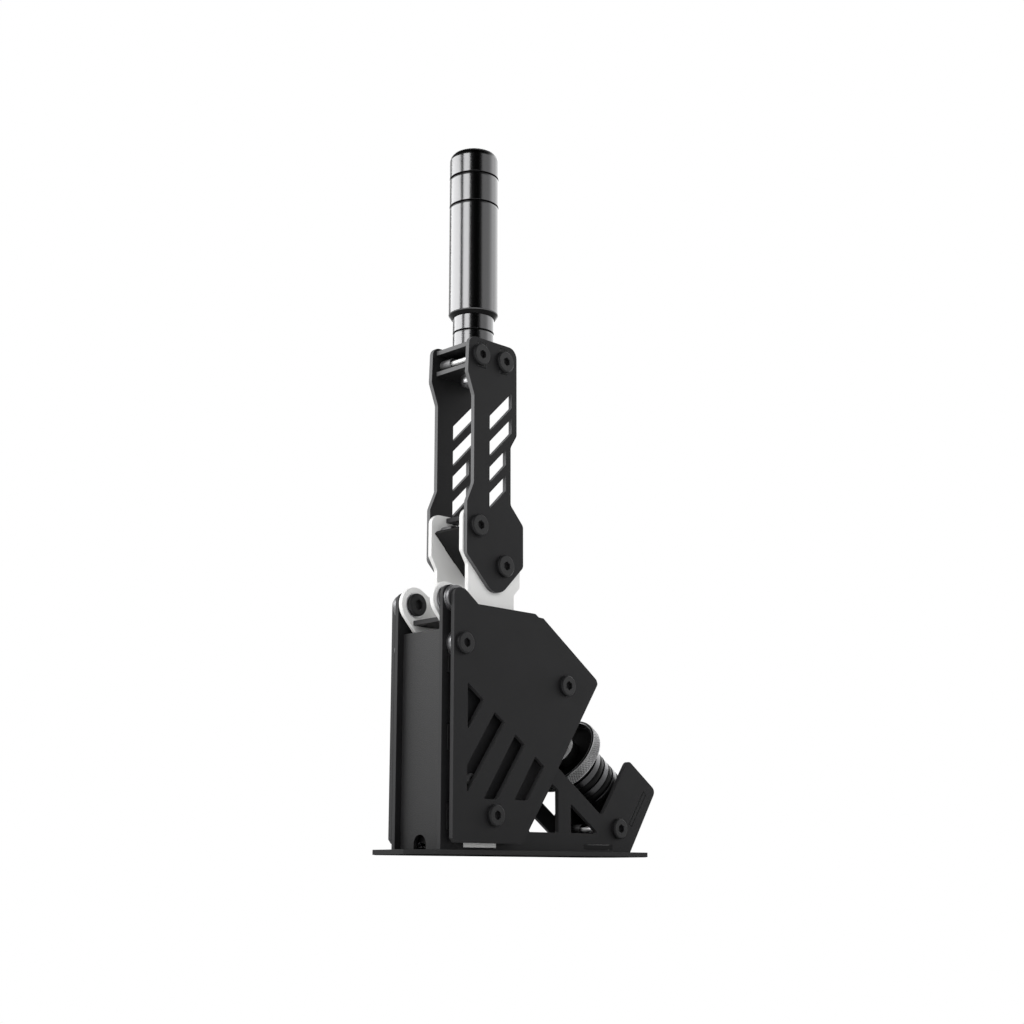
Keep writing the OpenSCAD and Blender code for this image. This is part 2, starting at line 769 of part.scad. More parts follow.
bolt_reach = 60;
grip_bolt_d = 10;
grip_head_t = 6;
module grip_bolt() {
    color("#c9c9cb") translate([0, grip_y, cross_lower_z]) difference() {
        union() {
            translate([0, 0, -grip_head_t]) rotate_extrude()
                polygon([[0, 0], [6.6, 0], [7.6, 0.5], [8, 1.5], [8, grip_head_t], [0, grip_head_t]]);
            cylinder(d = grip_bolt_d, h = bolt_reach);
        }
        translate([0, 0, -grip_head_t - 0.1]) cylinder(d = 6 / cos(30), h = 3.6, $fn = 6);
    }
}
module grip_neck() {
    r = neck_d / 2;
    mid = neck_len * 0.52;
    color("#1c1c1e") translate([0, grip_y, neck_z]) difference() {
        rotate_extrude() polygon([[0, 0], [r, 0], [r, mid - 0.6], [r - 0.7, mid - 0.6], [r - 0.7, mid + 0.6],
            [r, mid + 0.6], [r, neck_len], [0, neck_len]]);
        translate([0, 0, -1]) cylinder(d = grip_bolt_d + 0.1, h = neck_len + 2);
    }
}
groove_z = 80;
module grip() {
    r = grip_d / 2;
    body = grip_len - cap_len;
    color("#141416") translate([0, grip_y, grip_z]) difference() {
        rotate_extrude() polygon([
            [0, 0], [r - 2, 0], [r, 2.6],
            [r, groove_z - groove_w / 2], [r - 0.7, groove_z - groove_w / 2],
            [r - 0.7, groove_z + groove_w / 2], [r, groove_z + groove_w / 2],
            [r, body - groove_w / 2], [r - 0.7, body - groove_w / 2], [r - 0.7, body],
            [0, body]
        ]);
        translate([0, 0, -1]) cylinder(d = grip_bolt_d + 0.1, h = bolt_reach - neck_len);
    }
}
module grip_cap() {
    r = grip_d / 2;
    flat_r = r - cap_round;
    color("#141416") translate([0, grip_y, grip_top - cap_len]) rotate_extrude() polygon(concat(
        [[0, 0], [r - 0.7, 0], [r - 0.7, groove_w / 2], [r, groove_w / 2]],
        [for (a = [0 : 9 : 90]) [flat_r + cap_round * cos(a), cap_len - cap_round + cap_round * sin(a)]],
        [[0, cap_len]]));
}

// Push rod: an eye on the crank pin and a ball in the thrust collar

ball = on_stack(ball_s, 0);
rod_d = 9;
module push_rod() {
    dy = ball[0] - crank_y;
    dz = ball[1] - crank_z;
    reach = sqrt(dy * dy + dz * dz);
    color("#9a9a9c") difference() {
        union() {
            pin([crank_y, crank_z], 17, -eye_w / 2, eye_w / 2);
            translate([0, crank_y, crank_z]) rotate([-90 + atan2(dz, dy), 0, 0]) {
                rotate_extrude() polygon([
                    [0, 6], [rod_d / 2, 6], [rod_d / 2, reach - 11],
                    [3, reach - 7], [3, reach], [0, reach]
                ]);
                translate([0, 0, reach]) sphere(r = ball_r);
            }
        }
        pin([crank_y, crank_z], crank_pin_d + 2 * run_fit, -eye_w / 2 - 1, eye_w / 2 + 1);
    }
}

// Pieces on the stack axis

module thrust_collar() {
    h = nut_floor - collar_front - face_gap;
    centre = ball_s - collar_front;
    color("#d2d2d4") on_axis(collar_front) difference() {
        cylinder(r = collar_r, h = h);
        translate([0, 0, centre]) sphere(r = socket_r);
        translate([0, 0, -1]) cylinder(r1 = collar_r - 1, r2 = socket_r - 0.3, h = centre + 1.6);
    }
}
module stack_stud() {
    from = nut_floor - face_gap;
    color("#8a8a8c") on_axis(from) cylinder(d = stud_d, h = stud_end - from);
}
module stop_nut() {
    color("#8a8a8c") on_axis(stop_nut_front) difference() {
        cylinder(d = 17 / cos(30), h = 4, $fn = 6);
        translate([0, 0, -1]) cylinder(d = stud_d + 0.02, h = 6);
    }
}
module preload_nut() {
    r = nut_d / 2;
    core_r = r - 1.2;
    wall_r = r - 2.4;
    bore_r = stud_d / 2 + run_fit;
    color("#77777a") on_axis() union() {
        rotate_extrude() polygon([[bore_r, nut_floor], [wall_r, nut_floor], [wall_r, 0.5], [wall_r + 0.5, 0],
            [core_r, 0], [core_r, nut_len], [15, nut_len], [15, boss_end], [bore_r, boss_end]]);
        translate([0, 0, 0.8]) linear_extrude(nut_len - 1.6) difference() {
            polygon([for (i = [0 : knurl_count - 1], e = [[0, r - 0.7], [0.25, r], [0.75, r]])
                let (a = (i + e[0]) * 360 / knurl_count) e[1] * [cos(a), sin(a)]]);
            circle(r = core_r - 0.6);
        }
    }
}

// Elastomer pucks and the discs between them
module puck(i) {
    s = boss_end + face_gap + (i - 1) * pitch_s;
    r = puck_d / 2;
    color("#161616") on_axis(s) difference() {
        rotate_extrude() polygon([
            [0, 0], [r - 0.9, 0], [r, 1.2],
            [r, puck_t - 1.2], [r - 0.9, puck_t], [0, puck_t]
        ]);
        translate([0, 0, -1]) cylinder(d = stud_d + 0.8, h = puck_t + 2);
    }
}
module elastomer_puck_1() { puck(1); }
module elastomer_puck_2() { puck(2); }
module elastomer_puck_3() { puck(3); }
module elastomer_puck_4() { puck(4); }
module elastomer_puck_5() { puck(5); }
module stack_disc(i) {
    s = boss_end + (i - 1) * pitch_s + 5.35;
    color("#6b6b6d") on_axis(s) ring(puck_d, stud_d + 2 * run_fit, disc_t);
}
module stack_disc_1() { stack_disc(1); }
module stack_disc_2() { stack_disc(2); }
module stack_disc_3() { stack_disc(3); }
module stack_disc_4() { stack_disc(4); }

base_plate();
left_side_plate();
right_side_plate();
left_cover();
right_cover();
front_panel();
front_floor_brace();
rear_floor_brace();
seat_plate();
stop_bar();
stop_sleeve();
left_cover_bolts();
right_cover_bolts();
cover_spacers();
rear_bolts();
frame_sleeve_nuts();
base_screws();
controller_box();
usb_socket();
controller_screws();
load_cell();
sensor_cable();
pivot_bolts();
pivot_spacers();
pivot_washers();
pivot_nuts();
left_lever_foot();
right_lever_foot();
foot_lower_brace();
foot_slanted_brace();
foot_top_brace();
pivot_bearings();
crank_pin();
crank_spacers();
left_lever_plate();
right_lever_plate();
upper_cross_plate();
lower_cross_plate();
left_lever_bolts();
right_lever_bolts();
lever_sleeve_nuts();
grip_bolt();
grip_neck();
grip();
grip_cap();
push_rod();
thrust_collar();
stack_stud();
stop_nut();
preload_nut();
elastomer_puck_1();
elastomer_puck_2();
elastomer_puck_3();
elastomer_puck_4();
elastomer_puck_5();
stack_disc_1();
stack_disc_2();
stack_disc_3();
stack_disc_4();
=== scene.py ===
# %% [markdown]
# # A handbrake lever for a driving simulator
# The real object is a box of laser-cut, powder-coated steel plates that holds a lever, and a sloping
# stack of rubber pucks that the lever squeezes. The measured solids are loaded first and stay where they
# are. This lesson gives them edges, turned surfaces, knurling, screws, coats of paint and studio light.

import json
import math
from functools import partial

import bmesh
import bpy
from mathutils import Matrix, Vector

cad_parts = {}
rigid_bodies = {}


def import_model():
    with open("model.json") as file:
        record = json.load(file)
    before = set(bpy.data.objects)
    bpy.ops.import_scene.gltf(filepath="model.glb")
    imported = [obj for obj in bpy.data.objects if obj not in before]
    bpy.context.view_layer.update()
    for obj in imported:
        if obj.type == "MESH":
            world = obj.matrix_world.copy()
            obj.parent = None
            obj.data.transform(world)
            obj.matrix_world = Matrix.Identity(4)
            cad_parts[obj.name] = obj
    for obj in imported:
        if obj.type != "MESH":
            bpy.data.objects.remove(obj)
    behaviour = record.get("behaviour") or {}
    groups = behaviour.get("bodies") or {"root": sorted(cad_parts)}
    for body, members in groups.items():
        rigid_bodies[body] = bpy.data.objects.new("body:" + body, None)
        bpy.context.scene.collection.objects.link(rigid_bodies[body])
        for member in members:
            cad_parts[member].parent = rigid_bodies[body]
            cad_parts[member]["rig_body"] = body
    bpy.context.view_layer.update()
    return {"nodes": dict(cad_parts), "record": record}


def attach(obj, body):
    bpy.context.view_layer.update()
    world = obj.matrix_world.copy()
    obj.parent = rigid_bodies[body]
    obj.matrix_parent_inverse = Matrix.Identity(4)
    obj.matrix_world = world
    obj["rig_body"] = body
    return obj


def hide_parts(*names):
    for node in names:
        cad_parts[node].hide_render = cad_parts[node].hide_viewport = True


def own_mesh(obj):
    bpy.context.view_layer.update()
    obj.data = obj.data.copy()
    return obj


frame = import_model()
nodes = frame["nodes"]
MM = 0.001

# %% [markdown]
# ## The camera
# The photograph was taken from the front right with a 55 mm lens, a little below the base plate and
# looking slightly up. Edges that are parallel on the object gave the lens, and the two sides of the base
# plate gave the place. The camera could be placed by eye, but then no edge would line up.

# %% Camera
LENS_MM, SENSOR_MM = 55.15, 36.0
CAMERA_AT = (0.72762, -0.7329, -0.01232)
CAMERA_TURN, CAMERA_PITCH = 45.0, 13.06
lens = bpy.data.cameras.new("photo_camera")
lens.lens = LENS_MM
lens.sensor_width = SENSOR_MM
lens.clip_start = 0.01
camera = bpy.data.objects.new("photo_camera", lens)
camera.location = CAMERA_AT
camera.rotation_euler = (math.radians(90 + CAMERA_PITCH), 0, math.radians(CAMERA_TURN))
bpy.context.collection.objects.link(camera)
bpy.context.scene.camera = camera
bpy.context.scene.view_settings.view_transform = "Standard"
print("camera at", CAMERA_AT, "with a", LENS_MM, "mm lens")

# %% [markdown]
# ## Small helpers for node trees
# A node tree is a list of nodes and the wires between them. One helper adds a node and sets or wires its
# inputs in the same call, so that each tree below reads like a formula from top to bottom.


# %% Node helpers
def feed(tree, socket, value):
    """Sets a socket to a constant, or wires another socket into it."""
    if isinstance(value, bpy.types.NodeSocket):
        tree.links.new(value, socket)
    else:
        socket.default_value = value


def add(tree, kind, inputs=None, **settings):
    """Adds a node. Each input is a constant, or a socket to wire in."""
    made = tree.nodes.new(kind)
    for name, value in settings.items():
        setattr(made, name, value)
    for name, value in (inputs or {}).items():
        feed(tree, made.inputs[name], value)
    return made


def maths(tree, operation, a, b=0.0):
    """One arithmetic step; returns its result."""
    return add(tree, "ShaderNodeMath", {0: a, 1: b}, operation=operation).outputs[0]


def vectors(tree, operation, a, b=(0, 0, 0)):
    """One step on vectors; returns the vector, or the number for a dot product or a length."""
    step = add(tree, "ShaderNodeVectorMath", {0: a, 1: b}, operation=operation)
    return step.outputs["Value" if operation in ("DOT_PRODUCT", "LENGTH") else "Vector"]


def scaled(tree, vector, factor):
    """A vector or a colour times a number."""
    step = add(tree, "ShaderNodeVectorMath", {0: vector, "Scale": factor}, operation="SCALE")
    return step.outputs["Vector"]


def clamped(tree, value):
    """A number held between 0 and 1, as a mask has to be."""
    return add(tree, "ShaderNodeClamp", {"Value": value}).outputs["Result"]


def new_tree(name, kind, inputs, outputs):
    """A node group with named inputs and outputs, given as (name, socket type, default)."""
    tree = bpy.data.node_groups.new(name, kind)
    for label, socket, _ in outputs:
        tree.interface.new_socket(label, in_out="OUTPUT", socket_type=socket)
    for label, socket, default in inputs:
        made = tree.interface.new_socket(label, in_out="INPUT", socket_type=socket)
        if default is not None:
            made.default_value = default
    start = tree.nodes.new("NodeGroupInput").outputs
    end = tree.nodes.new("NodeGroupOutput").inputs
    return tree, start, end


FLOAT, INT, VECTOR = "NodeSocketFloat", "NodeSocketInt", "NodeSocketVector"
COLOUR, GEOMETRY, MATERIAL = "NodeSocketColor", "NodeSocketGeometry", "NodeSocketMaterial"
print("node helpers ready")

# %% [markdown]
# ## Surface effects that several finishes share
# Powder coat, rubber and turned steel differ in colour, but share a few effects: a slow drift in tone, a
# fine grain, edges that are rubbed a little lighter, cut edges that get another colour by the way they
# face, which is painted highlight and painted shade, and the rings that a lathe leaves. Each effect is a
# shader group that puts out a colour, a mask or a height, and each finish places it with its own values.
# Object coordinates are the place on the object in metres, so a grain keeps its real size on every piece.

# %% Tone drift and fine grain
def object_place(tree):
    """The place on the object, in metres."""
    return add(tree, "ShaderNodeTexCoord").outputs["Object"]


def noise(tree, place, scale, detail):
    """Noise between 0 and 1; its scale is counted per metre."""
    inputs = {"Vector": place, "Scale": scale, "Detail": detail}
    return add(tree, "ShaderNodeTexNoise", inputs).outputs["Fac"]


tree, start, end = new_tree(
    "tone_drift", "ShaderNodeTree",
    [("Colour", COLOUR, (0.5, 0.5, 0.5, 1)), ("Drift", FLOAT, 0.1), ("Scale", FLOAT, 30.0)],
    [("Colour", COLOUR, None)],
)
centred = maths(tree, "SUBTRACT", noise(tree, object_place(tree), start["Scale"], 3.0), 0.5)
level = maths(tree, "ADD", maths(tree, "MULTIPLY", centred, start["Drift"]), 1.0)
tree.links.new(scaled(tree, start["Colour"], level), end["Colour"])

PATCH_SCALE = 60.0
tree, start, end = new_tree(
    "fine_grain", "ShaderNodeTree",
    [("Scale", FLOAT, 3000.0), ("Roughness", FLOAT, 0.5), ("Spread", FLOAT, 0.1)],
    [("Height", FLOAT, None), ("Roughness", FLOAT, None)],
)
place = object_place(tree)
tree.links.new(noise(tree, place, start["Scale"], 2.0), end["Height"])
patch = maths(tree, "SUBTRACT", noise(tree, place, PATCH_SCALE, 4.0), 0.5)
rough = maths(tree, "ADD", maths(tree, "MULTIPLY", patch, start["Spread"]), start["Roughness"])
tree.links.new(rough, end["Roughness"])
print("rough patches of about", round(1000 / PATCH_SCALE), "mm")

# %% Rubbed edges, and painted highlight and shade on cut edges
WEAR_SCALE, WEAR_GAIN, FACE_LIMIT = 220.0, 4.0, 0.6
tree, start, end = new_tree(
    "rubbed_edges", "ShaderNodeTree",
    [("Width", FLOAT, 0.0004), ("Amount", FLOAT, 1.0)],
    [("Mask", FLOAT, None)],
)
soft_normal = add(tree, "ShaderNodeBevel", {"Radius": start["Width"]}, samples=4).outputs["Normal"]
flat_normal = add(tree, "ShaderNodeNewGeometry").outputs["Normal"]
facing = vectors(tree, "DOT_PRODUCT", soft_normal, flat_normal)
turn = maths(tree, "MULTIPLY", maths(tree, "SUBTRACT", 1.0, facing), WEAR_GAIN)
wear = noise(tree, object_place(tree), WEAR_SCALE, 3.0)
broken = maths(tree, "MULTIPLY", turn, wear)
mask = clamped(tree, maths(tree, "MULTIPLY", broken, start["Amount"]))
tree.links.new(mask, end["Mask"])

# Painted light: a face whose normal lies along none of the face axes gets another colour, a painted
# highlight where it is lighter and a painted shade where it is darker.
tree, start, end = new_tree(
    "cut_edges", "ShaderNodeTree",
    [("Face Axes", VECTOR, (1, 0, 0)), ("Sharpness", FLOAT, 6.0)],
    [("Mask", FLOAT, None)],
)
normal = add(tree, "ShaderNodeTexCoord").outputs["Normal"]
flatness = vectors(tree, "LENGTH", vectors(tree, "MULTIPLY", normal, start["Face Axes"]))
slope = maths(tree, "MULTIPLY", maths(tree, "SUBTRACT", FACE_LIMIT, flatness), start["Sharpness"])
tree.links.new(clamped(tree, slope), end["Mask"])
print("cut faces: less than", FACE_LIMIT, "of the normal on the face axes")

# %% Lathe rings
tree, start, end = new_tree(
    "lathe_rings", "ShaderNodeTree",
    [("Centre", VECTOR, (0, 0, 0)), ("Axis", VECTOR, (0, 0, 1)), ("Density", FLOAT, 4000.0)],
    [("Height", FLOAT, None), ("Radius", FLOAT, None)],
)
arm = vectors(tree, "SUBTRACT", object_place(tree), start["Centre"])
along = vectors(tree, "DOT_PRODUCT", arm, start["Axis"])
on_axis = scaled(tree, start["Axis"], along)
radial = vectors(tree, "LENGTH", vectors(tree, "SUBTRACT", arm, on_axis))
station = maths(tree, "MULTIPLY", maths(tree, "ADD", along, radial), start["Density"])
rings = add(tree, "ShaderNodeTexNoise", {"W": station, "Detail": 2.0}, noise_dimensions="1D")
tree.links.new(rings.outputs["Fac"], end["Height"])
tree.links.new(radial, end["Radius"])
print("shader groups:", [group.name for group in bpy.data.node_groups])

# %% [markdown]
# ## Finishes
# Every finish is one Principled shader. A number that is the same all over a surface is set on the
# shader's own socket. Only what varies over the surface comes from the groups above: the colour, the
# roughness and the small bumps. The cut edges of plates are painted another tone: lighter as a painted
# highlight on the black plates, darker as a painted shade on the white plates and the slanted brace.
# Turned pieces have lathe rings about their own axis, and bands of painted shade, painted dull black, in
# their grooves, wells and valleys and on the collar's side.


# %% Finish builder
# Painted shade: the dull black of grooves, wells, knurl valleys and the collar's side, standing in for their
# shadow.
PAINTED_SHADE_BLACK = (0.004, 0.004, 0.004)


def mix_colour(tree, mask, first, second):
    """Blends two colours by a mask. The RGBA sockets of a Mix node come after those for numbers."""
    blend = add(tree, "ShaderNodeMix", {"Factor": mask, 6: first, 7: (*second, 1)}, data_type="RGBA")
    return blend.outputs[2]


def group(tree, name, inputs):
    """Places a shared group in a finish; returns its outputs."""
    return add(tree, "ShaderNodeGroup", inputs, node_tree=bpy.data.node_groups[name]).outputs


def shade_band_mask(tree, radius, bands):
    """1 inside the bands of painted shade, which are pairs of radii in mm, and 0 elsewhere."""
    mask = 0.0
    for low, high in bands:
        beyond = maths(tree, "GREATER_THAN", radius, low * MM)
        within = maths(tree, "LESS_THAN", radius, high * MM)
        mask = maths(tree, "ADD", mask, maths(tree, "MULTIPLY", beyond, within))
    return mask


def finish(name, colour, rough, metallic=0.0, gloss=0.5, drift=0.15, grain=2500.0, bump=0.00001,
           worn=0.0, worn_colour=(0.2, 0.2, 0.2), edge_colour=None, face_axes=(1, 0, 0), turned_on=None,
           ring_bump=0.000003, spread=0.12, shade_bands=()):
    """A procedural material. turned_on is the (centre, axis) of a piece made on a lathe.

    The edge colour goes on the cut edges of plates, which are the faces that look along none of face_axes.
    It is painted light: a painted highlight where it is lighter than the colour, a painted shade where
    darker.
    Between the radii of a pair of shade bands, in mm, a turned piece is painted dull black as painted shade.
    Without drift, spread and ring_bump it is polished.
    """
    made = bpy.data.materials.new(name)
    made.use_nodes = True
    tree = made.node_tree
    shader = tree.nodes["Principled BSDF"].inputs
    shader["Specular IOR Level"].default_value = gloss
    surface, roughness, metal, depth = (*colour, 1), rough, metallic, bump
    if drift:
        surface = group(tree, "tone_drift", {"Colour": surface, "Drift": drift})["Colour"]
    # Painted highlight and painted shade: the cut edges take the edge colour by the way they face.
    if edge_colour:
        edges = group(tree, "cut_edges", {"Face Axes": face_axes})
        surface = mix_colour(tree, edges["Mask"], surface, edge_colour)
    if worn:
        rub = group(tree, "rubbed_edges", {"Amount": worn})
        surface = mix_colour(tree, rub["Mask"], surface, worn_colour)
    if spread:
        texture = group(tree, "fine_grain", {"Scale": grain, "Roughness": rough, "Spread": spread})
        roughness, height = texture["Roughness"], texture["Height"]
    if turned_on:
        turning = group(tree, "lathe_rings", {"Centre": turned_on[0], "Axis": turned_on[1]})
        height, depth = turning["Height"], ring_bump
        # Painted shade: inside the bands the colour turns dull black and the metal is taken out.
        if shade_bands:
            painted_shade = shade_band_mask(tree, turning["Radius"], shade_bands)
            surface = mix_colour(tree, painted_shade, surface, PAINTED_SHADE_BLACK)
            if metallic:
                metal = maths(tree, "MULTIPLY", maths(tree, "SUBTRACT", 1.0, painted_shade), metallic)
    if depth:
        relief = add(tree, "ShaderNodeBump", {"Height": height, "Distance": depth, "Strength": 1.0})
        tree.links.new(relief.outputs["Normal"], shader["Normal"])
    for socket, value in (("Base Color", surface), ("Roughness", roughness), ("Metallic", metal)):
        feed(tree, shader[socket], value)
    return made


print("finish builder ready")

# %% Turned axes, and bands of painted shade on this object
STACK_TILT = math.radians(-125)
STACK_ORIGIN = Vector((0, 40.3, 68.6)) * MM
STACK_AXIS = Matrix.Rotation(STACK_TILT, 3, "X") @ Vector((0, 0, 1))
GRIP_AXIS_Y, PIVOT_SPOT = -42.2, (-79.0, 155.5)
on_stack = (tuple(STACK_ORIGIN), tuple(STACK_AXIS))
on_grip = ((0, GRIP_AXIS_Y * MM, 0), (0, 0, 1))
on_pivot = ((0, PIVOT_SPOT[0] * MM, PIVOT_SPOT[1] * MM), (1, 0, 0))

GRIP_R, NECK_R, NUT_WELL_R, KNURL_VALLEY, COLLAR_SIDE = 16.9, 14.0, 24.8, 26.66, 11.3
GROOVES_BELOW, WELL_WALL, VALLEY_WIDTH, FAR_OUT = 0.4, 0.05, 0.46, 1000.0
# Bands of painted shade, radii in mm: the grip's grooves, the nut's well and knurl valleys, and the collar's
# side down in the nut's shadow.
SHADE_BANDS = {
    "grip": [(0.0, GRIP_R - GROOVES_BELOW)],
    "grip_neck": [(0.0, NECK_R - GROOVES_BELOW)],
    "preload_nut": [(0.0, NUT_WELL_R + WELL_WALL), (KNURL_VALLEY - VALLEY_WIDTH, KNURL_VALLEY)],
    "thrust_collar": [(COLLAR_SIDE, FAR_OUT)],
}
print("matt bands in mm:", SHADE_BANDS)

# %% Finishes of the material slots
POWDER = dict(colour=(0.0135, 0.0135, 0.0143), rough=0.55, gloss=0.14, bump=0.00002, worn=0.25)
STEEL, STACK_METAL = (dict(metallic=1.0, turned_on=axis) for axis in (on_pivot, on_stack))
ANODISED = dict(colour=(0.13, 0.13, 0.132), rough=0.2, metallic=1.0, drift=0.0, turned_on=on_grip,
                ring_bump=0.0, spread=0.0)
LOOKS = {
    # Painted highlight: black powder coat has lighter cut edges than faces.
    "black_powder_coat": dict(POWDER, edge_colour=(0.036, 0.036, 0.037), worn_colour=(0.06, 0.06, 0.062)),
    "panel_coat": dict(colour=(0.018, 0.018, 0.0187), rough=0.5, gloss=0.4, grain=1500.0, bump=0.0001,
                       worn=0.5, worn_colour=(0.08, 0.08, 0.082)),
    # Painted shade: white powder coat has darker cut edges than faces.
    "white_powder_coat": dict(colour=(0.82, 0.82, 0.81), rough=0.42, drift=0.03,
                              edge_colour=(0.7, 0.7, 0.69)),
    "black_screw": dict(colour=(0.011, 0.011, 0.0118), rough=0.45, gloss=0.25, grain=6000.0, worn=0.5,
                        worn_colour=(0.09, 0.09, 0.09)),
    "dark_steel": dict(STEEL, colour=(0.3, 0.3, 0.31), rough=0.45),
    "bright_steel": dict(STEEL, colour=(0.66, 0.66, 0.67), rough=0.34),
    "brushed_aluminium": dict(STACK_METAL, colour=(0.6, 0.61, 0.62), rough=0.35),
    # Painted shade: the nut's well and knurl valleys are painted dull black.
    "knurled_steel": dict(STACK_METAL, colour=(0.42, 0.42, 0.425), rough=0.3, gloss=0.1,
                          ring_bump=0.000005, shade_bands=SHADE_BANDS["preload_nut"]),
    "elastomer": dict(colour=(0.003, 0.003, 0.003), rough=0.45, gloss=0.15, drift=0.3, grain=900.0),
    "black_plastic": dict(colour=(0.012, 0.012, 0.013), rough=0.5, grain=1800.0, bump=0.00003),
    "cable_sheath": dict(colour=(0.012, 0.012, 0.012), rough=0.45, grain=1500.0),
    "gloss_black": ANODISED,
}
finishes = {name: finish(name, **look) for name, look in LOOKS.items()}
print("finishes of slots:", sorted(finishes))

# %% Finishes of single pieces
zinc_plate = finish("zinc_plate", (0.88, 0.88, 0.88), 0.35, metallic=0.3, turned_on=on_pivot)
stack_steel = finish("stack_steel", (0.1, 0.1, 0.103), 0.36, **STACK_METAL)
own_finish = {
    # Painted shade: the collar's side, down in the nut's shadow, is painted dull black.
    "thrust_collar": finish("zinc_collar", (0.95, 0.95, 0.95), 0.5, turned_on=on_stack,
                            shade_bands=SHADE_BANDS["thrust_collar"]),
    "front_floor_brace": finish("pale_brace", (0.93, 0.93, 0.92), 0.42, drift=0.03),
    "rear_floor_brace": finish("matt_brace", (0.022, 0.022, 0.0225), 0.7, gloss=0.0, bump=0.00002),
    # Painted light: the box screws are coloured lighter than the other black screws, standing in for light
    # that their recess between cover and frame keeps from them.
    "controller_screws": finish("small_screw", (0.05, 0.05, 0.051), 0.4, gloss=0.6, grain=6000.0),
    "cover_spacers": finish("spacer_steel", (0.42, 0.42, 0.43), 0.4, **STEEL),
    "lever_sleeve_nuts": finish("sleeve_steel", (0.3, 0.3, 0.305), 0.6, **STEEL),
    "pivot_washers": finish("washer_steel", (0.34, 0.34, 0.35), 0.5, **STEEL),
    "pivot_nuts": finish("nut_steel", (0.2, 0.2, 0.205), 0.5, **STEEL),
    # Painted shade: the grooves of the grip and the neck, more than 0.4 mm below the surface, are painted
    # dull black.
    "grip": finish("gloss_black_grooved", **ANODISED, gloss=0.1, shade_bands=SHADE_BANDS["grip"]),
    "grip_neck": finish("gloss_black_neck", **ANODISED, gloss=0.1, shade_bands=SHADE_BANDS["grip_neck"]),
}
# Painted light on cut edges: lighter as a painted highlight on the lever, cross and base plates, darker as a
# painted shade on the slanted brace.
for name, painted_edge_level, face_axes, coated in (
    ("lever_coat", 0.12, (1, 0, 0), ["left_lever_plate", "right_lever_plate"]),
    ("cross_coat", 0.12, (1, 0, 1), ["upper_cross_plate", "lower_cross_plate"]),
    ("base_coat", 0.024, (0, 0, 1), ["base_plate"]),
    ("brace_coat", 0.011, (1, 0, 0), ["foot_slanted_brace"]),
):
    edge = (painted_edge_level, painted_edge_level, painted_edge_level * 1.02)
    coat = finish(name, **POWDER, edge_colour=edge, face_axes=face_axes, worn_colour=edge)
    own_finish.update(dict.fromkeys(coated, coat))
print("pieces with a finish of their own:", len(own_finish))

# %% [markdown]
# ## Which piece takes which finish
# The imported record already says what each node is made of, so the finish follows the record. The script
# only looks it up, which keeps the render and the record in step. A few pieces have a finish of their
# own, where the photograph shows them lighter, darker or duller than the rest of their kind. Some of
# these colours are painted light: the lightened box screws, and the painted highlight and shade on cut
# edges and turned pieces.

# %% Give every measured node its finish
slot_of = {part["node"]: part["material_slot"] for part in frame["record"]["subparts"]}


def finish_of(node):
    """The finish of a node: its own, the stack's turned steel, or its slot's."""
    if node in own_finish:
        return own_finish[node]
    return stack_steel if node.startswith(("stack_", "stop_nut")) else finishes[slot_of[node]]


for name, part in nodes.items():
    part.data.materials.clear()
    part.data.materials.append(finish_of(name))
print("finished", len(nodes), "nodes in", len(set(slot_of.values())), "slots")


def hand_over(piece, *stands_for):
    """A finished piece takes its node's body, and stands for its nodes, which are hidden."""
    node = stands_for[0]
    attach(piece, nodes[node]["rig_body"])
    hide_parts(*stands_for)
    return piece


# %% [markdown]
# ## Soft edges on cut plates
# A laser leaves a sharp corner, but tumbling and a coat of powder round it by a few tenths of a
# millimetre. That thin round catches the light and is what makes steel look like steel. The measured
# solid has exact corners, so a copy is merged, its flat faces are joined, and a Bevel modifier rounds
# what is left. A shader could only fake this, and the mesh itself would still be sharp. Only the small
# faces are shaded smooth: a large face that is shaded smooth shows streaks towards its far corners.
# Some plates end in tabs that sit in slots of their neighbours. The ends of those tabs are drawn in by a
# quarter of a millimetre, which leaves the thin dark seam that a real tab has around it.

# %% Mesh helpers and the plates
def plain_mesh(piece):
    """Bakes the modifiers of an object into its mesh and removes them."""
    evaluated = piece.evaluated_get(bpy.context.evaluated_depsgraph_get())
    mesh = bpy.data.meshes.new_from_object(evaluated)
    piece.modifiers.clear()
    piece.data = mesh
    return piece


def link(name, mesh):
    piece = bpy.data.objects.new(name, mesh)
    bpy.context.collection.objects.link(piece)
    return piece


EDGE_ROUND, SEAM, TAB_LENGTH, END_FACE = (mm * MM for mm in (0.22, 0.28, 2.9, 0.05))
LARGE_FACE = 12 * MM * MM
FLAT_WITHIN, SHARP_OVER = math.radians(0.4), math.radians(40)
PLATES = [name for name, slot in slot_of.items() if slot.endswith("_coat") or slot == "black_plastic"]
TABBED = ["upper_cross_plate", "lower_cross_plate", "seat_plate", "front_panel"]
print(len(PLATES), "plates,", len(TABBED), "with drawn-in tabs")


# %% Round the edges of plates
def draw_in_tabs(work):
    """Draws in the corners of a plate's tab ends, and moves nothing beyond the length of a tab."""
    reach = max(abs(vert.co.x) for vert in work.verts)
    for side in (-1, 1):
        everything = [*work.verts, *work.edges, *work.faces]
        bmesh.ops.bisect_plane(work, geom=everything, plane_co=(side * (reach - TAB_LENGTH), 0, 0),
                               plane_no=(1, 0, 0))
    shifts = []
    for face in work.faces:
        if abs(face.normal.x) > 0.99 and abs(face.verts[0].co.x) > reach - END_FACE:
            for loop in face.loops:
                here = loop.vert.co
                sides = (loop.link_loop_next.vert.co - here, loop.link_loop_prev.vert.co - here)
                shifts.append((loop.vert, (sides[0].normalized() + sides[1].normalized()) * SEAM))
    for vert, shift in shifts:
        vert.co += shift
    return len(shifts)


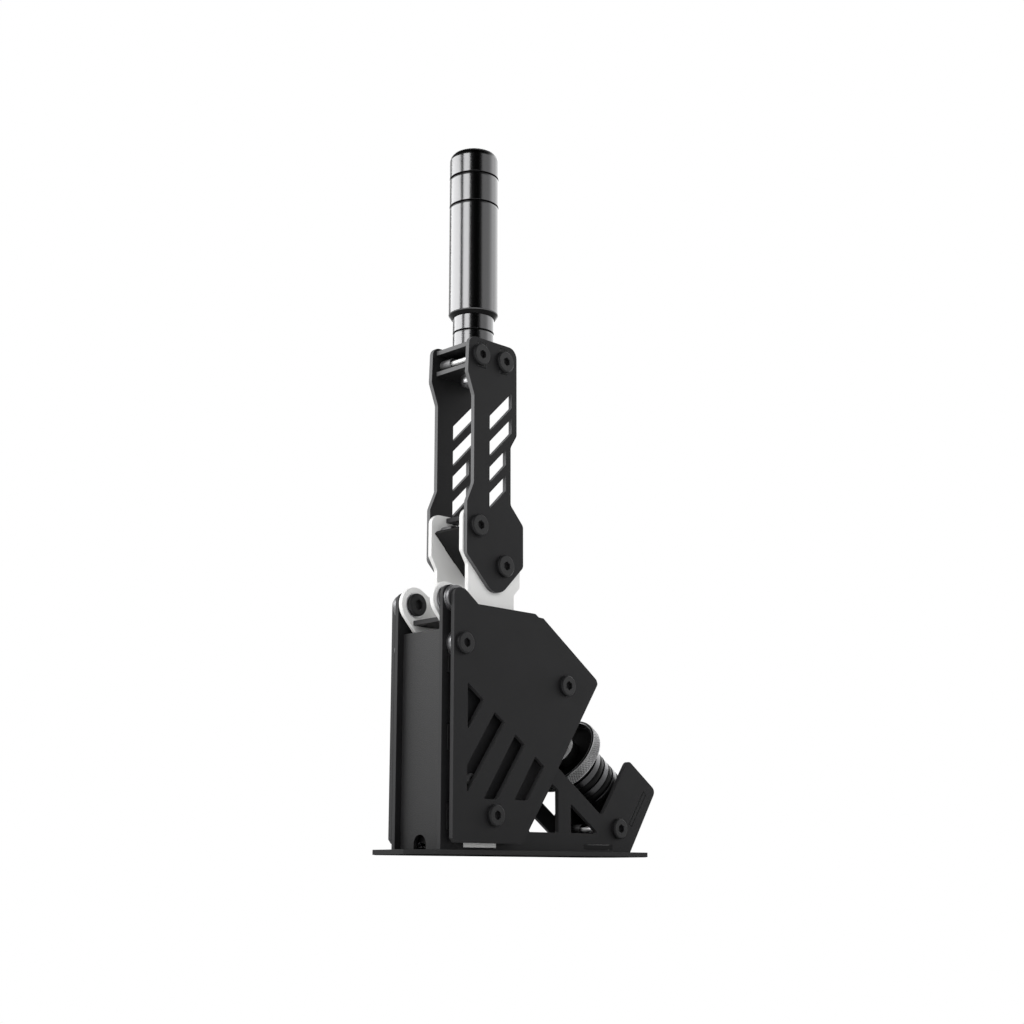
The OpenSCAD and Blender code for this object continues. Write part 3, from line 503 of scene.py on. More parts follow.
def soften(node):
    """A copy of a node whose outer edges are rounded by a small bevel."""
    mesh = nodes[node].data.copy()
    work = bmesh.new()
    work.from_mesh(mesh)
    bmesh.ops.remove_doubles(work, verts=work.verts, dist=1e-6)
    bmesh.ops.dissolve_limit(work, angle_limit=FLAT_WITHIN, verts=work.verts, edges=work.edges)
    if node in TABBED:
        print("tab corners of", node, draw_in_tabs(work))
    work.to_mesh(mesh)
    work.free()
    piece = link(node + "_softened", mesh)
    round_off = piece.modifiers.new("edge_round", "BEVEL")
    round_off.width = EDGE_ROUND
    round_off.segments = 2
    round_off.limit_method = "ANGLE"
    round_off.angle_limit = SHARP_OVER
    for face in plain_mesh(piece).data.polygons:
        face.use_smooth = face.area < LARGE_FACE
    return hand_over(piece, node)


for name in PLATES:
    soften(name)
print("softened", len(PLATES), "plates")

# %% [markdown]
# ## A lathe made of nodes
# The grip, the discs, the pucks, the screws and the knurled nut are all turned: one outline goes round an
# axis. Blender can spin an outline in edit mode, but a Geometry Nodes tree keeps the rule. It takes the
# outline as a row of points, copies it round a grid, and bends the grid into a tube. Two marks on the
# points change the radius: one makes a hexagon for a socket, and one presses a diamond knurl into it.

# %% The lathe tree: a grid with a row for each point
def end_tree(tree, geometry, material, end):
    """Ends a tree with real geometry in the material that was asked for."""
    real = add(tree, "GeometryNodeRealizeInstances", {"Geometry": geometry})
    painted = add(tree, "GeometryNodeSetMaterial", {"Geometry": real.outputs[0], "Material": material})
    tree.links.new(painted.outputs[0], end["Geometry"])


lathe, start, end = new_tree(
    "turned_part", "GeometryNodeTree",
    [("Outline", GEOMETRY, None), ("Segments", INT, 64), ("Knurl Count", FLOAT, 100.0),
     ("Knurl Pitch", FLOAT, 0.0017), ("Knurl Depth", FLOAT, 0.0009), ("Crease Angle", FLOAT, 0.6),
     ("Material", MATERIAL, None)],
    [("Geometry", GEOMETRY, None)],
)
step, outline = partial(maths, lathe), start["Outline"]
count = add(lathe, "GeometryNodeAttributeDomainSize", {0: outline}, component="MESH").outputs["Point Count"]
columns = step("ADD", start["Segments"], 1.0)
grid = add(lathe, "GeometryNodeMeshGrid", {"Vertices X": columns, "Vertices Y": count})
index = add(lathe, "GeometryNodeInputIndex").outputs[0]
row = step("MODULO", index, count)
column = step("FLOOR", step("DIVIDE", step("ADD", index, 0.5), count))
share = step("DIVIDE", column, start["Segments"])
angle = step("MULTIPLY", share, 2 * math.pi)
print("lathe tree so far:", len(lathe.nodes), "nodes")


# %% The lathe tree: the two marks that change the radius
def read_row(kind, value):
    """The value that the outline has at this vertex's row."""
    inputs = {"Geometry": outline, "Value": value, "Index": row}
    return add(lathe, "GeometryNodeSampleIndex", inputs, data_type=kind, domain="POINT").outputs["Value"]


def mark(name):
    """How strongly the outline carries a mark at this vertex's row."""
    named = add(lathe, "GeometryNodeInputNamedAttribute", {"Name": name}, data_type="FLOAT")
    return read_row("FLOAT", named.outputs[0])


def wave(value):
    """A triangle wave from 1 to 0 and back."""
    saw = step("MULTIPLY", step("FRACT", value), 2.0)
    return step("ABSOLUTE", step("SUBTRACT", saw, 1.0))


spot = read_row("FLOAT_VECTOR", add(lathe, "GeometryNodeInputPosition").outputs[0])
spot = add(lathe, "ShaderNodeSeparateXYZ", {0: spot}).outputs
sector = step("SUBTRACT", step("MODULO", angle, math.pi / 3), math.pi / 6)
hexagon = step("DIVIDE", 1.0, step("COSINE", sector))
stretch = add(lathe, "ShaderNodeMix", {0: mark("hexagon"), 2: 1.0, 3: hexagon})
radius = step("MULTIPLY", spot["X"], stretch.outputs[0])
around = step("MULTIPLY", share, start["Knurl Count"])
across = step("DIVIDE", spot["Z"], start["Knurl Pitch"])
diamond = step("ADD", wave(step("ADD", around, across)), wave(step("SUBTRACT", around, across)))
valley = step("SUBTRACT", 1.0, step("MULTIPLY", diamond, 0.5))
pressed = step("MULTIPLY", valley, step("MULTIPLY", mark("knurl"), start["Knurl Depth"]))
radius = step("SUBTRACT", radius, pressed)
print("with the marks:", len(lathe.nodes), "nodes")

# %% The lathe tree: bend the grid into a tube
MERGE_WITHIN = 0.000002
bent = add(lathe, "ShaderNodeCombineXYZ", {
    "X": step("MULTIPLY", radius, step("COSINE", angle)),
    "Y": step("MULTIPLY", radius, step("SINE", angle)),
    "Z": spot["Z"],
})
tube = add(lathe, "GeometryNodeSetPosition", {"Geometry": grid.outputs["Mesh"], "Position": bent.outputs[0]})
tube = add(lathe, "GeometryNodeMergeByDistance", {"Geometry": tube.outputs[0], "Distance": MERGE_WITHIN})
smooth = add(lathe, "GeometryNodeSetShadeSmooth", {"Geometry": tube.outputs[0]}, domain="FACE")
fold = add(lathe, "GeometryNodeInputMeshEdgeAngle").outputs["Unsigned Angle"]
crease = add(lathe, "FunctionNodeCompare", {0: fold, 1: start["Crease Angle"]}, data_type="FLOAT",
             operation="GREATER_THAN")
creased = add(lathe, "GeometryNodeSetShadeSmooth", {
    "Geometry": smooth.outputs[0], "Selection": crease.outputs[0], "Shade Smooth": False}, domain="EDGE")
end_tree(lathe, creased.outputs[0], start["Material"], end)
print("lathe tree has", len(lathe.nodes), "nodes")


# %% Outlines for the lathe
ARC_STEPS, SPARE = 4, 0.25


def arc_corner(before, here, after, radius):
    """A corner of an outline, rounded, with a point just outside each end to keep the flats flat."""
    p, q, s = Vector(before), Vector(here), Vector(after)
    u, v = (p - q).normalized(), (s - q).normalized()
    half = u.angle(v) / 2
    reach = radius / math.tan(half)
    centre = q + (u + v).normalized() * radius / math.sin(half)
    first, last = q + u * reach - centre, q + v * reach - centre
    turn = first.angle_signed(last)
    points = [centre + Matrix.Rotation(-turn * i / ARC_STEPS, 2) @ first for i in range(ARC_STEPS + 1)]
    spare_in, spare_out = (min(SPARE, ((end - q).length - reach) * 0.4) for end in (p, s))
    return [q + u * (reach + spare_in), *points, q + v * (reach + spare_out)]


def outline_of(corners, closed):
    """Outline points [r, z, hexagon, knurl] in mm from corners (r, z[, round[, hexagon[, knurl]]])."""
    points = []
    for i, corner in enumerate(corners):
        r, z, rounding, hexagon_mark, knurl_mark = (*corner, *(0, 0, 0)[len(corner) - 2:])
        spots = [Vector((r, z))]
        if rounding:
            spots = arc_corner(corners[i - 1][:2], (r, z), corners[(i + 1) % len(corners)][:2], rounding)
        points += [(spot[0], spot[1], hexagon_mark, knurl_mark) for spot in spots]
    return points + points[:1] if closed else points


print("corners are rounded in", ARC_STEPS, "steps")


# %% From an outline to a turned piece
def set_inputs(modifier, **values):
    """Sets a Geometry Nodes modifier's inputs. They are found by name and set by identifier."""
    for item in modifier.node_group.interface.items_tree:
        key = item.name.replace(" ", "_").lower()
        if item.in_out == "INPUT" and key in values:
            modifier[item.identifier] = values[key]


def outward(mesh):
    """Merges a finished shell and turns its faces outwards."""
    work = bmesh.new()
    work.from_mesh(mesh)
    bmesh.ops.remove_doubles(work, verts=work.verts, dist=1e-7)
    bmesh.ops.recalc_face_normals(work, faces=work.faces)
    if work.calc_volume(signed=True) < 0:
        bmesh.ops.reverse_faces(work, faces=work.faces)
    work.to_mesh(mesh)
    work.free()
    return mesh


def point_mesh(name, spots, in_a_row=True):
    """A mesh of points, given in mm, and of the edges that join them in a row."""
    mesh = bpy.data.meshes.new(name)
    edges = [(i, i + 1) for i in range(len(spots) - 1)] if in_a_row else []
    mesh.from_pydata([tuple(c * MM for c in spot) for spot in spots], edges, [])
    return mesh


def turned(name, corners, material, where=Matrix.Identity(4), closed=False, segments=64, **sizes):
    """Runs an outline through the lathe tree and leaves a plain mesh at its place."""
    points = outline_of(corners, closed)
    mesh = point_mesh(name, [(r, 0, z) for r, z, _, _ in points])
    for column_name, slot in (("hexagon", 2), ("knurl", 3)):
        values = mesh.attributes.new(column_name, "FLOAT", "POINT")
        values.data.foreach_set("value", [float(point[slot]) for point in points])
    piece = link(name, mesh)
    spin = piece.modifiers.new("lathe", "NODES")
    spin.node_group = lathe
    set_inputs(spin, segments=segments, material=material, **sizes)
    plain_mesh(piece)
    outward(piece.data).transform(where)
    return piece


print("lathe ready")

# %% [markdown]
# ## The grip
# A grip like this is turned from aluminium bar, polished, and anodised black. Each part's outline has
# small rounds at its corners, which show as thin bright rings. The grooves where the cap and the body
# meet are real steps in the outline, so they are in the mesh itself.

# %% Neck, grip and cap
NECK_Z, GRIP_Z, CAP_Z, GRIP_TOP = 330.5, 353.5, 455.0, 473.3
NECK_L, GRIP_L, NECK_GROOVE, GRIP_GROOVE, CAP_GROOVE = 22.99, 101.49, 11.36, 79.4, 100.19
GROOVE_W, GROOVE_DEPTH, LEAD, LEAD_L = 1.3, 1.2, 0.12, 1.0


def grip_piece(node, corners, z):
    """A turned piece on the grip's axis; its outline counts from z."""
    where = Matrix.Translation((0, GRIP_AXIS_Y * MM, z * MM))
    return hand_over(turned(node + "_turned", corners, finish_of(node), where, segments=128), node)


def groove(radius, z):
    """A square groove from z upwards, with a slight lead on the edge below it."""
    floor = radius - GROOVE_DEPTH
    return [(radius, z - LEAD_L, 0.1), (radius - LEAD, z), (floor, z), (floor, z + GROOVE_W),
            (radius, z + GROOVE_W, 0.1)]


grip_piece("grip_neck", [
    (0, 0.02), (NECK_R, 0.02, 0.3), *groove(NECK_R, NECK_GROOVE), (NECK_R, NECK_L, 0.1), (0, NECK_L),
], NECK_Z)
grip_piece("grip", [
    (0, 0.01), (GRIP_R - 2, 0.01, 0.2), (GRIP_R, 2.6, 0.3), *groove(GRIP_R, GRIP_GROOVE),
    *groove(GRIP_R, CAP_GROOVE)[:3], (GRIP_R - GROOVE_DEPTH, GRIP_L), (0, GRIP_L),
], GRIP_Z)
grip_piece("grip_cap", [
    (0, 0.01), (GRIP_R, 0.01, 0.1), (GRIP_R, GRIP_TOP - CAP_Z, 5.4), (0, GRIP_TOP - CAP_Z),
], CAP_Z)
print("grip top at", GRIP_TOP, "mm")

# %% [markdown]
# ## The knurled nut and the collar
# The nut sets how hard the stack is squeezed before the lever moves, so fingers have to grip it. On the
# real one a pair of rollers presses two sets of slanted grooves into the rim. The lathe tree does the
# same: two triangle waves that lean against each other leave rows of small pyramids. A bump map would
# vanish at the silhouette. The well inside the rim and the valleys of the knurl are painted dull black as
# painted shade, so the tips shine. The collar in the well is a pale cup for the ball of the push rod; its
# side, down in the nut's shadow, is painted dull black as painted shade.

# %% Nut
def on_the_stack(s):
    """Local Z runs along the stack, and s is the distance from the nut's front rim in mm."""
    return Matrix.Translation(STACK_ORIGIN + STACK_AXIS * s * MM) @ Matrix.Rotation(STACK_TILT, 4, "X")


NUT_R, NUT_FLOOR, NUT_BACK, BOSS_END, STUD_R = 27.2, 5.5, 9.1, 10.9, 5.04
KNURL_COUNT, KNURL_PITCH, KNURL_DEPTH = 100, 1.7, 0.9
BAND_START, BAND_ROWS, BAND_BACK, BAND_LIP = 1.2, 16, 8.45, 0.35
band = [(NUT_R, BAND_START + i * KNURL_PITCH / 4, 0, 0, 1) for i in range(BAND_ROWS + 1)]
nut_corners = [
    (STUD_R, NUT_FLOOR), (NUT_WELL_R, NUT_FLOOR, 0.5), (NUT_WELL_R, 0.5, 0.3), (NUT_R - 1.9, 0.02, 0.1),
    (NUT_R - 0.9, 0.02, 0.15), (NUT_R - BAND_LIP, 0.7), *band, (NUT_R - BAND_LIP, BAND_BACK),
    (NUT_R - 1.0, NUT_BACK - 0.02, 0.15), (15, NUT_BACK - 0.02), (15, BOSS_END, 0.3), (STUD_R, BOSS_END),
]
nut = turned("preload_nut_knurled", nut_corners, finish_of("preload_nut"), on_the_stack(0), closed=True,
             segments=KNURL_COUNT * 4, knurl_count=float(KNURL_COUNT), knurl_pitch=KNURL_PITCH * MM,
             knurl_depth=KNURL_DEPTH * MM, crease_angle=0.12)
hand_over(nut, "preload_nut")
print("knurled nut:", len(nut.data.polygons), "faces")

# %% Collar
COLLAR_FRONT, COLLAR_R, SOCKET_R, SOCKET_Z, SOCKET_LIP = -1.6, 11.5, 4.75, 1.6, (4.73, 2.05)
COLLAR_BACK = NUT_FLOOR - 0.05 - COLLAR_FRONT
cup = [(SOCKET_R * math.cos(math.radians(a)), SOCKET_Z + SOCKET_R * math.sin(math.radians(a)))
       for a in range(78, 6, -12)]
collar = turned("thrust_collar_turned", [
    (0, SOCKET_Z + SOCKET_R), *cup, SOCKET_LIP, (8.61, 0.02, 0.15), (COLLAR_R, 0.02, 0.3),
    (COLLAR_R, COLLAR_BACK, 0.4), (0, COLLAR_BACK),
], finish_of("thrust_collar"), on_the_stack(COLLAR_FRONT), segments=96)
hand_over(collar, "thrust_collar")
print("collar:", len(collar.data.polygons), "faces")

# %% [markdown]
# ## Pucks and discs
# The pucks are cast elastomer. The nut holds them under a light squeeze, so their rims belly out a little
# between the discs. The discs are plain turned steel with small chamfers.

# %% Pucks and discs
PUCK_R, PUCK_T, PUCK_BORE, DISC_T, PITCH, GAP = 18.7, 5.3, STUD_R + 0.36, 4.5, 9.85, 0.05
belly = [(PUCK_R - 0.75 + 0.7 * math.sin(math.pi * i / 8) ** 0.6, PUCK_T * (0.06 + 0.88 * i / 8))
         for i in range(9)]
for i in range(1, 6):
    node = f"elastomer_puck_{i}"
    front = BOSS_END + GAP + (i - 1) * PITCH
    puck = turned(node + "_cast", [
        (PUCK_BORE, 0.02), (PUCK_R - 1.4, 0.02), *belly, (PUCK_R - 1.4, PUCK_T - 0.02),
        (PUCK_BORE, PUCK_T - 0.02),
    ], finishes["elastomer"], on_the_stack(front), closed=True, segments=96)
    hand_over(puck, node)
    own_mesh(puck)
for i in range(1, 5):
    node = f"stack_disc_{i}"
    front = BOSS_END + (i - 1) * PITCH + PUCK_T + GAP
    disc = turned(node + "_turned", [
        (STUD_R, 0.01), (PUCK_R, 0.01, 0.35), (PUCK_R, DISC_T - 0.01, 0.35), (STUD_R, DISC_T - 0.01),
    ], stack_steel, on_the_stack(front), closed=True, segments=96)
    hand_over(disc, node)

# %% [markdown]
# ## Screws, set out by a second tree
# Twenty screws hold the plates, and they are of only a few kinds. One screw of each kind comes off the
# lathe tree. A second tree stands a copy on every point of a list and turns it to face the way that the
# point says. Copying by hand would look the same today, but a list can be changed in one place.

# %% The setting-out tree
BLACK = finishes["black_screw"]
setting_out, start, end = new_tree(
    "set_out_parts", "GeometryNodeTree",
    [("Places", GEOMETRY, None), ("Part", "NodeSocketObject", None), ("Material", MATERIAL, None)],
    [("Geometry", GEOMETRY, None)],
)
facing = add(setting_out, "GeometryNodeInputNamedAttribute", {"Name": "facing"}, data_type="FLOAT_VECTOR")
aligned = add(setting_out, "FunctionNodeAlignRotationToVector", {"Vector": facing.outputs[0]}, axis="Z")
part = add(setting_out, "GeometryNodeObjectInfo", {"Object": start["Part"]})
copies = add(setting_out, "GeometryNodeInstanceOnPoints", {
    "Points": start["Places"], "Instance": part.outputs["Geometry"], "Rotation": aligned.outputs[0],
})
end_tree(setting_out, copies.outputs[0], start["Material"], end)


def set_out(name, pattern, places, material=BLACK):
    """Copies a pattern to places [(x, y, z), facing], in mm, as one mesh, and removes the pattern."""
    mesh = point_mesh(name, [spot for spot, _ in places], in_a_row=False)
    ways = mesh.attributes.new("facing", "FLOAT_VECTOR", "POINT")
    ways.data.foreach_set("vector", [c for _, way in places for c in way])
    piece = link(name, mesh)
    copier = piece.modifiers.new("set_out", "NODES")
    copier.node_group = setting_out
    set_inputs(copier, part=pattern, material=material)
    plain_mesh(piece)
    bpy.data.objects.remove(pattern)
    return piece


def joined(name, pieces):
    """Several plain meshes as one."""
    work = bmesh.new()
    for piece in pieces:
        work.from_mesh(piece.data)
    mesh = pieces[0].data.copy()
    work.to_mesh(mesh)
    work.free()
    for piece in pieces:
        bpy.data.objects.remove(piece)
    return link(name, mesh)


print("setting-out tree has", len(setting_out.nodes), "nodes")


# %% One screw, and where the plates are
def screw(name, head, height, shank, reach, key):
    """A wide-headed socket screw; local Z is outwards and the head's seat is at 0. Sizes in mm."""
    return turned(name, [
        (0, -reach), (shank / 2, -reach, 0.3), (shank / 2, 0.0), (head / 2, 0.01, 0.12),
        (head / 2, height - 0.8, 0.4), (head / 2 - 0.8, height, 0.4), (key / 2 + 0.2, height, 0, 1),
        (key / 2, height - 0.12, 0, 1), (key / 2, height - 2.3, 0, 1), (0, height - 2.5),
    ], BLACK, segments=60, crease_angle=0.3)


def plate_screw(name, head, reach):
    """Holds plates: a 6 mm shank, and a low head with a 5.1 mm socket."""
    return screw(name, head, 2.8, 6.0, reach, 5.1)


def both_sides(x, spots):
    """The same spots (y, z) on the left and on the right, facing outwards."""
    return [((side * x, y, z), (side, 0, 0)) for side in (-1, 1) for y, z in spots]


SLEEVE, PLATE = 9.6, 3.0
COVER_FACE, FRAME_FACE, FRAME_INNER, LEVER_FACE = 29.3, 22.3, 19.3, 19.1
COVER_SPOTS = [(-76.1, 127.4), (15.5, 108.4), (-49.5, 23.7)]
REAR_SPOT, BOX_SPOT = (72.8, 18.3), (-64.1, 45.4)
TOP_SPOTS = [(-53.9, 321.2), (-32.0, 321.2)]
FOOT_SPOTS = [(-54.9, 206.3), (-31.6, 182.7)]
print("screws on the frame's sides:", 2 * len([*COVER_SPOTS, REAR_SPOT, BOX_SPOT]))

# %% Screws on the plates
FRAME_HEAD, LEVER_HEAD = 13.5, 14.4
cover_screw = plate_screw("cover_screw", FRAME_HEAD, COVER_FACE - FRAME_INNER + SLEEVE - 1)
hand_over(set_out("cover_screws", cover_screw, both_sides(COVER_FACE, COVER_SPOTS)),
          "left_cover_bolts", "right_cover_bolts")
rear_screw = plate_screw("rear_screw", FRAME_HEAD, PLATE + SLEEVE - 1)
hand_over(set_out("rear_screws", rear_screw, both_sides(FRAME_FACE, [REAR_SPOT])), "rear_bolts")
box_screw = screw("box_screw", 7.2, 2.0, 3.3, PLATE + 6, 2.6)
hand_over(set_out("box_screws", box_screw, both_sides(FRAME_FACE, [BOX_SPOT]),
                  finish_of("controller_screws")), "controller_screws")
top_screw = plate_screw("lever_top_screw", LEVER_HEAD, PLATE + 4.5)
foot_screw = plate_screw("lever_foot_screw", LEVER_HEAD, 2 * PLATE + SLEEVE - 1)
lever_screws = joined("lever_screws", [
    set_out("lever_top_screws", top_screw, both_sides(LEVER_FACE, TOP_SPOTS)),
    set_out("lever_foot_screws", foot_screw, both_sides(LEVER_FACE, FOOT_SPOTS)),
])
hand_over(lever_screws, "left_lever_bolts", "right_lever_bolts")
PIVOT_SEAT, PIVOT_END = 12.45, 26.1
pivot_screw = screw("pivot_screw", 14.5, 2.6, 7.92, PIVOT_END - PIVOT_SEAT, 6.0)
pivot_places = [((side * PIVOT_SEAT, *PIVOT_SPOT), (-side, 0, 0)) for side in (-1, 1)]
hand_over(set_out("pivot_screws", pivot_screw, pivot_places), "pivot_bolts")
print("lever screws:", len(lever_screws.data.polygons), "faces")

# %% [markdown]
# ## Sleeve nuts and ties
# Each plate screw ends in a sleeve nut on the inner face of its plate. At the top of the lever and at the
# back of the frame a bright tie goes right across between the sleeves. It shows between the two cross
# plates and through the rear window. Thick washers hold the covers away from the frame. All of them come
# off the same lathe tree and are stood in place by the same lists of points as the screws.

# %% Sleeve nuts
FOOT_OUTER, FOOT_INNER, SLEEVE_R, BORE_R = 16.1, 13.1, 3.7, 3.05
TIE_R, LEVER_TIE, FRAME_TIE, SHORT_SLEEVE = 1.8, 11.4, 10.6, 5.5


def sleeves(name, places, length=SLEEVE):
    """Sleeve nuts at places; each points outwards, with its seat on the plate."""
    pattern = turned(name + "_pattern", [
        (BORE_R, -length), (SLEEVE_R, -length, 0.3), (SLEEVE_R, -0.01), (BORE_R, -0.01),
    ], DARK, closed=True, segments=48)
    return set_out(name, pattern, places, DARK)


DARK = finish_of("lever_sleeve_nuts")
frame_sleeves = sleeves("frame_sleeves", both_sides(FRAME_INNER, [*COVER_SPOTS, REAR_SPOT]))
hand_over(frame_sleeves, "frame_sleeve_nuts")
lever_sleeves = joined("lever_sleeves", [
    sleeves("foot_sleeves", both_sides(FOOT_INNER, FOOT_SPOTS)),
    sleeves("left_top_sleeves", both_sides(FOOT_OUTER, TOP_SPOTS)[:2]),
    sleeves("right_top_sleeves", both_sides(FOOT_OUTER, TOP_SPOTS)[2:], SHORT_SLEEVE),
])
hand_over(lever_sleeves, "lever_sleeve_nuts")
print("sleeve nuts:", 2 * len([*COVER_SPOTS, REAR_SPOT, *FOOT_SPOTS, *TOP_SPOTS]))


# %% Ties and spacers
def ties(name, node, half, spots):
    """Bright rods across the object, from sleeve to sleeve; they ride with the node's body."""
    rod = turned(name + "_pattern", [(0, -half), (TIE_R, -half, 0.2), (TIE_R, half, 0.2), (0, half)],
                 zinc_plate, segments=48)
    made = set_out(name, rod, [((0, y, z), (1, 0, 0)) for y, z in spots], zinc_plate)
    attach(made, nodes[node]["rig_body"])
    return made


lever_ties = ties("lever_ties", "lever_sleeve_nuts", LEVER_TIE, TOP_SPOTS)
ties("frame_tie", "frame_sleeve_nuts", FRAME_TIE, [REAR_SPOT])
SPACER_R, SPACER_T = 8.7, COVER_FACE - PLATE - FRAME_FACE
spacer = turned("spacer_pattern", [
    (BORE_R, -SPACER_T / 2 + 0.01), (SPACER_R, -SPACER_T / 2 + 0.01, 0.3),
    (SPACER_R, SPACER_T / 2 - 0.01, 0.3), (BORE_R, SPACER_T / 2 - 0.01),
], finish_of("cover_spacers"), closed=True, segments=64)
spacer_places = both_sides(FRAME_FACE + SPACER_T / 2, COVER_SPOTS)
hand_over(set_out("turned_spacers", spacer, spacer_places, finish_of("cover_spacers")), "cover_spacers")
print("ties:", len(lever_ties.data.polygons), "faces; spacers", round(SPACER_T, 2), "mm thick")

# %% [markdown]
# ## The sensor cable
# The lead from the force sensor runs along the floor of the frame to the controller box, clipped in place,
# so it is a fixed part and not a loose cord. Its route is a list of points. A third tree turns the points
# into a smooth curve and sweeps a circle along it, with the diameter as an input.

# %% Cable tree
sweep, start, end = new_tree(
    "swept_cable", "GeometryNodeTree",
    [("Route", GEOMETRY, None), ("Diameter", FLOAT, 0.004), ("Steps", INT, 120), ("Sides", INT, 16),
     ("Material", MATERIAL, None)],
    [("Geometry", GEOMETRY, None)],
)
curve = add(sweep, "GeometryNodeMeshToCurve", {0: start["Route"]})
eased = add(sweep, "GeometryNodeCurveSplineType", {"Curve": curve.outputs[0]}, spline_type="CATMULL_ROM")
stepped = add(sweep, "GeometryNodeResampleCurve", {"Curve": eased.outputs[0], "Count": start["Steps"]})
circle = add(sweep, "GeometryNodeCurvePrimitiveCircle", {
    "Resolution": start["Sides"], "Radius": maths(sweep, "MULTIPLY", start["Diameter"], 0.5)})
tube = add(sweep, "GeometryNodeCurveToMesh", {"Curve": stepped.outputs[0],
           "Profile Curve": circle.outputs[0], "Fill Caps": True})
end_tree(sweep, tube.outputs[0], start["Material"], end)
print("cable tree has", len(sweep.nodes), "nodes")

# %% Sensor cable
CABLE_D = 4.0
CABLE_ROUTE = [
    (0, 76.89, 15.85), (0, 73.89, 12.6), (-1, 70, 10.6), (-3, 62, 10), (-7, 54, 10), (-11, 45, 10),
    (-13, 35, 10), (-13, 15, 10), (-13, -5, 10), (-13, -25, 10), (-12.5, -35, 10.4), (-11, -45, 11.4),
    (-10, -51, 12), (-10, -56.2, 12),
]
cable = link("sensor_cable_swept", point_mesh("sensor_cable_swept", CABLE_ROUTE))
sweeper = cable.modifiers.new("sweep", "NODES")
sweeper.node_group = sweep
set_inputs(sweeper, diameter=CABLE_D * MM, material=finishes["cable_sheath"])
plain_mesh(cable)
outward(cable.data)
hand_over(cable, "sensor_cable")
print("cable:", len(cable.data.polygons), "faces")

# %% [markdown]
# ## The floor and the white background
# The photograph has a pure white background and was taken from just below the base. The floor is a pale
# sheet that takes the object's shadow and fades to white with distance. Seen from below it lets the view
# through, so the camera of the photograph sees the object and white, and every other view sees a floor.


# %% Floor
def rays(tree, *kinds):
    """1 for rays of the named kinds, and 0 for all others."""
    path, mask = add(tree, "ShaderNodeLightPath").outputs, 0.0
    for kind in kinds:
        mask = maths(tree, "MAXIMUM", mask, path[f"Is {kind} Ray"])
    return mask


FLOOR_HALF, FLOOR_DROP, FADE_FROM, FADE_TO = 6.0, 0.0003, 0.35, 1.3
floor_mesh = bpy.data.meshes.new("floor")
floor_mesh.from_pydata([(x * FLOOR_HALF, y * FLOOR_HALF, -FLOOR_DROP) for x, y in
                        ((-1, -1), (1, -1), (1, 1), (-1, 1))], [], [(0, 1, 2, 3)])
floor = link("floor", floor_mesh)
paper = bpy.data.materials.new("floor_paper")
paper.use_nodes = True
tree = paper.node_tree
tree.nodes.clear()
distance = vectors(tree, "LENGTH", object_place(tree))
far = add(tree, "ShaderNodeMapRange", {"Value": distance, "From Min": FADE_FROM,
          "From Max": FADE_TO}, interpolation_type="SMOOTHSTEP")
sheet = add(tree, "ShaderNodeBsdfDiffuse", {"Color": (0.86, 0.86, 0.86, 1)})
glow = add(tree, "ShaderNodeEmission", {"Color": (1, 1, 1, 1), "Strength": 1.0})
fade = maths(tree, "MULTIPLY", far.outputs["Result"], rays(tree, "Camera", "Glossy", "Transmission"))
top = add(tree, "ShaderNodeMixShader", {0: fade, 1: sheet.outputs[0], 2: glow.outputs[0]})
clear = add(tree, "ShaderNodeBsdfTransparent")
below = add(tree, "ShaderNodeNewGeometry").outputs["Backfacing"]
whole = add(tree, "ShaderNodeMixShader", {0: below, 1: top.outputs[0], 2: clear.outputs[0]})
add(tree, "ShaderNodeOutputMaterial", {"Surface": whole.outputs[0]})
floor.data.materials.append(paper)
print("floor is", 2 * FLOOR_HALF, "m wide")

# %% [markdown]
# ## Studio light
# Polished black shows the room more than itself: the bright and dark bands on the grip are soft boxes
# and the gap between them. So the lamps stand where those bands say: a broad one to the left, a narrow
# one beside the camera, and a weak one to the right. The world adds an even fill from the walls, and
# less from the ceiling, so that pale faces that look up do not burn out. Shiny surfaces see a grey room
# that gets brighter behind the object to the right, with a dark gap where the camera stands and a dark
# ceiling.

# %% Lamps
LAMP_CENTRE = Vector((0, GRIP_AXIS_Y * MM, 0.3))
CAMERA_BEARING = math.radians(-45)
LAMP_DISTANCE = 1.6


def bearing_way(degrees):
    """The level way at a bearing from the camera, to the right in the picture."""
    turn = CAMERA_BEARING + math.radians(degrees)
    return Vector((math.cos(turn), math.sin(turn), 0))


def softbox(name, bearing, height, width, tall, radiance):
    """A soft box that faces the middle of the object; sizes in metres."""
    lamp = bpy.data.lights.new(name, "AREA")
    lamp.shape = "RECTANGLE"
    lamp.size, lamp.size_y = width, tall
    lamp.energy = radiance * math.pi * width * tall
    made = bpy.data.objects.new(name, lamp)
    made.location = LAMP_CENTRE + bearing_way(bearing) * LAMP_DISTANCE
    made.location.z = height
    aim = LAMP_CENTRE - made.location
    made.rotation_euler = aim.to_track_quat("-Z", "Y").to_euler()
    bpy.context.collection.objects.link(made)
    return lamp.energy


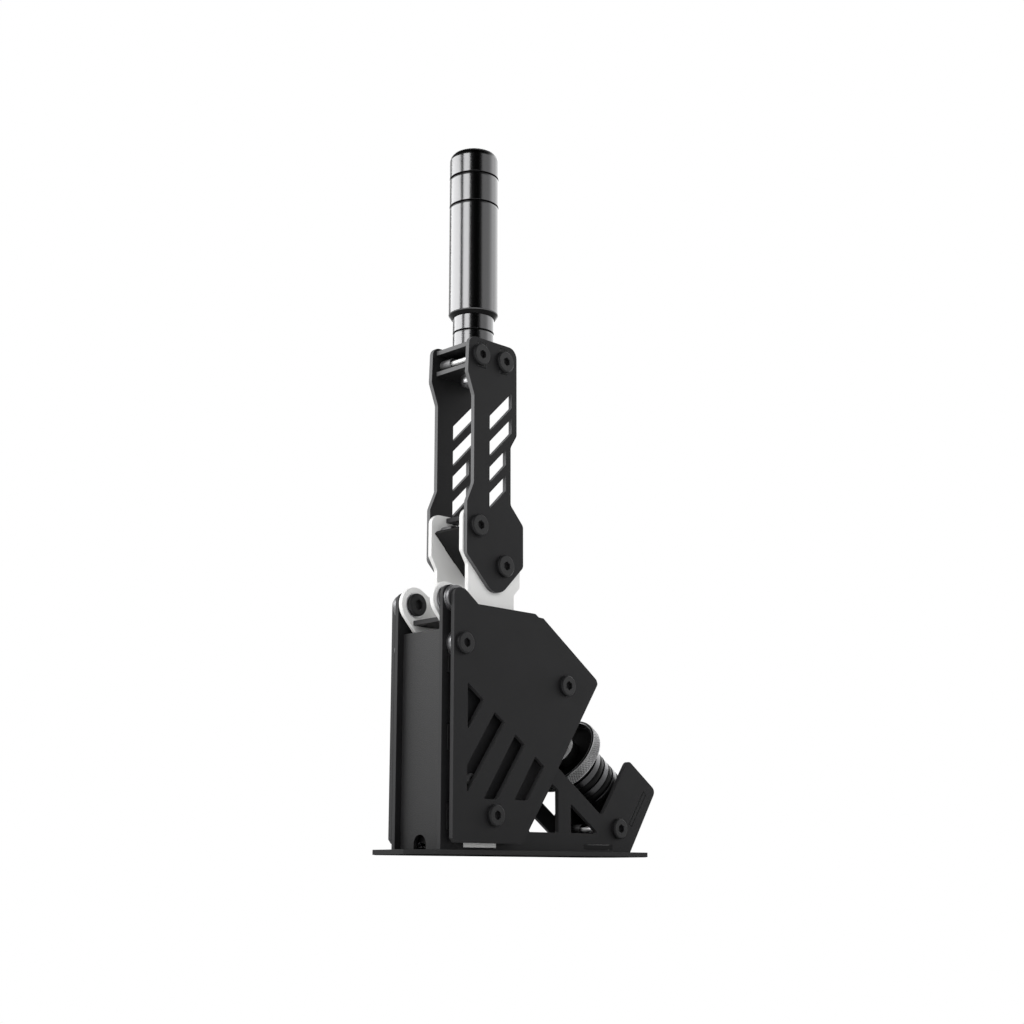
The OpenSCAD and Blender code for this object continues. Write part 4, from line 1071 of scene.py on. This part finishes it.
watts = [
    softbox("broad_left", -96, 0.95, 2.0, 0.72, 5.6),
    softbox("narrow_front", -34.5, 1.0, 0.83, 0.75, 5.0),
    softbox("weak_right", 72, 1.05, 2.0, 0.9, 0.75),
]
print("lamps in watts:", [round(w, 1) for w in watts])

# %% World
world = bpy.data.worlds.new("studio")
world.use_nodes = True
world.cycles.sampling_method = "NONE"
bpy.context.scene.world = world
tree = world.node_tree
tree.nodes.clear()
way = add(tree, "ShaderNodeTexCoord").outputs["Generated"]
level_way = vectors(tree, "NORMALIZE", vectors(tree, "MULTIPLY", way, (1, 1, 0)))


def towards(degrees):
    """1 for a view along this bearing, and less to its sides."""
    return vectors(tree, "DOT_PRODUCT", level_way, bearing_way(degrees))


def ramp(value, low, high, start, end):
    """Goes softly from start, at a low value, to end, at a high one."""
    return add(tree, "ShaderNodeMapRange", {"Value": value, "From Min": low, "From Max": high,
               "To Min": start, "To Max": end}, interpolation_type="SMOOTHSTEP").outputs["Result"]


GAP_BEARING, BACK_BEARING = 6, 150
gap = ramp(towards(GAP_BEARING), 0.86, 0.95, 1.0, 0.02)
back_wall = ramp(towards(BACK_BEARING), 0.2, 1.0, 0.1, 2.5)
height = add(tree, "ShaderNodeSeparateXYZ", {0: vectors(tree, "NORMALIZE", way)}).outputs["Z"]
ceiling = ramp(height, 0.55, 0.8, 1.0, 0.1)
room = maths(tree, "MULTIPLY", maths(tree, "MULTIPLY", gap, back_wall), ceiling)
shiny = maths(tree, "MULTIPLY", room, rays(tree, "Glossy"))
shown = maths(tree, "MAXIMUM", rays(tree, "Camera", "Transmission"), shiny)
rest = maths(tree, "SUBTRACT", 1.0, rays(tree, "Camera", "Transmission", "Glossy"))
strength = maths(tree, "ADD", shown, maths(tree, "MULTIPLY", rest, ceiling))
sky = add(tree, "ShaderNodeBackground", {"Color": (1, 1, 1, 1), "Strength": strength})
add(tree, "ShaderNodeOutputWorld", {"Surface": sky.outputs[0]})
print("dark gap at", GAP_BEARING, "degrees, bright wall at", BACK_BEARING)
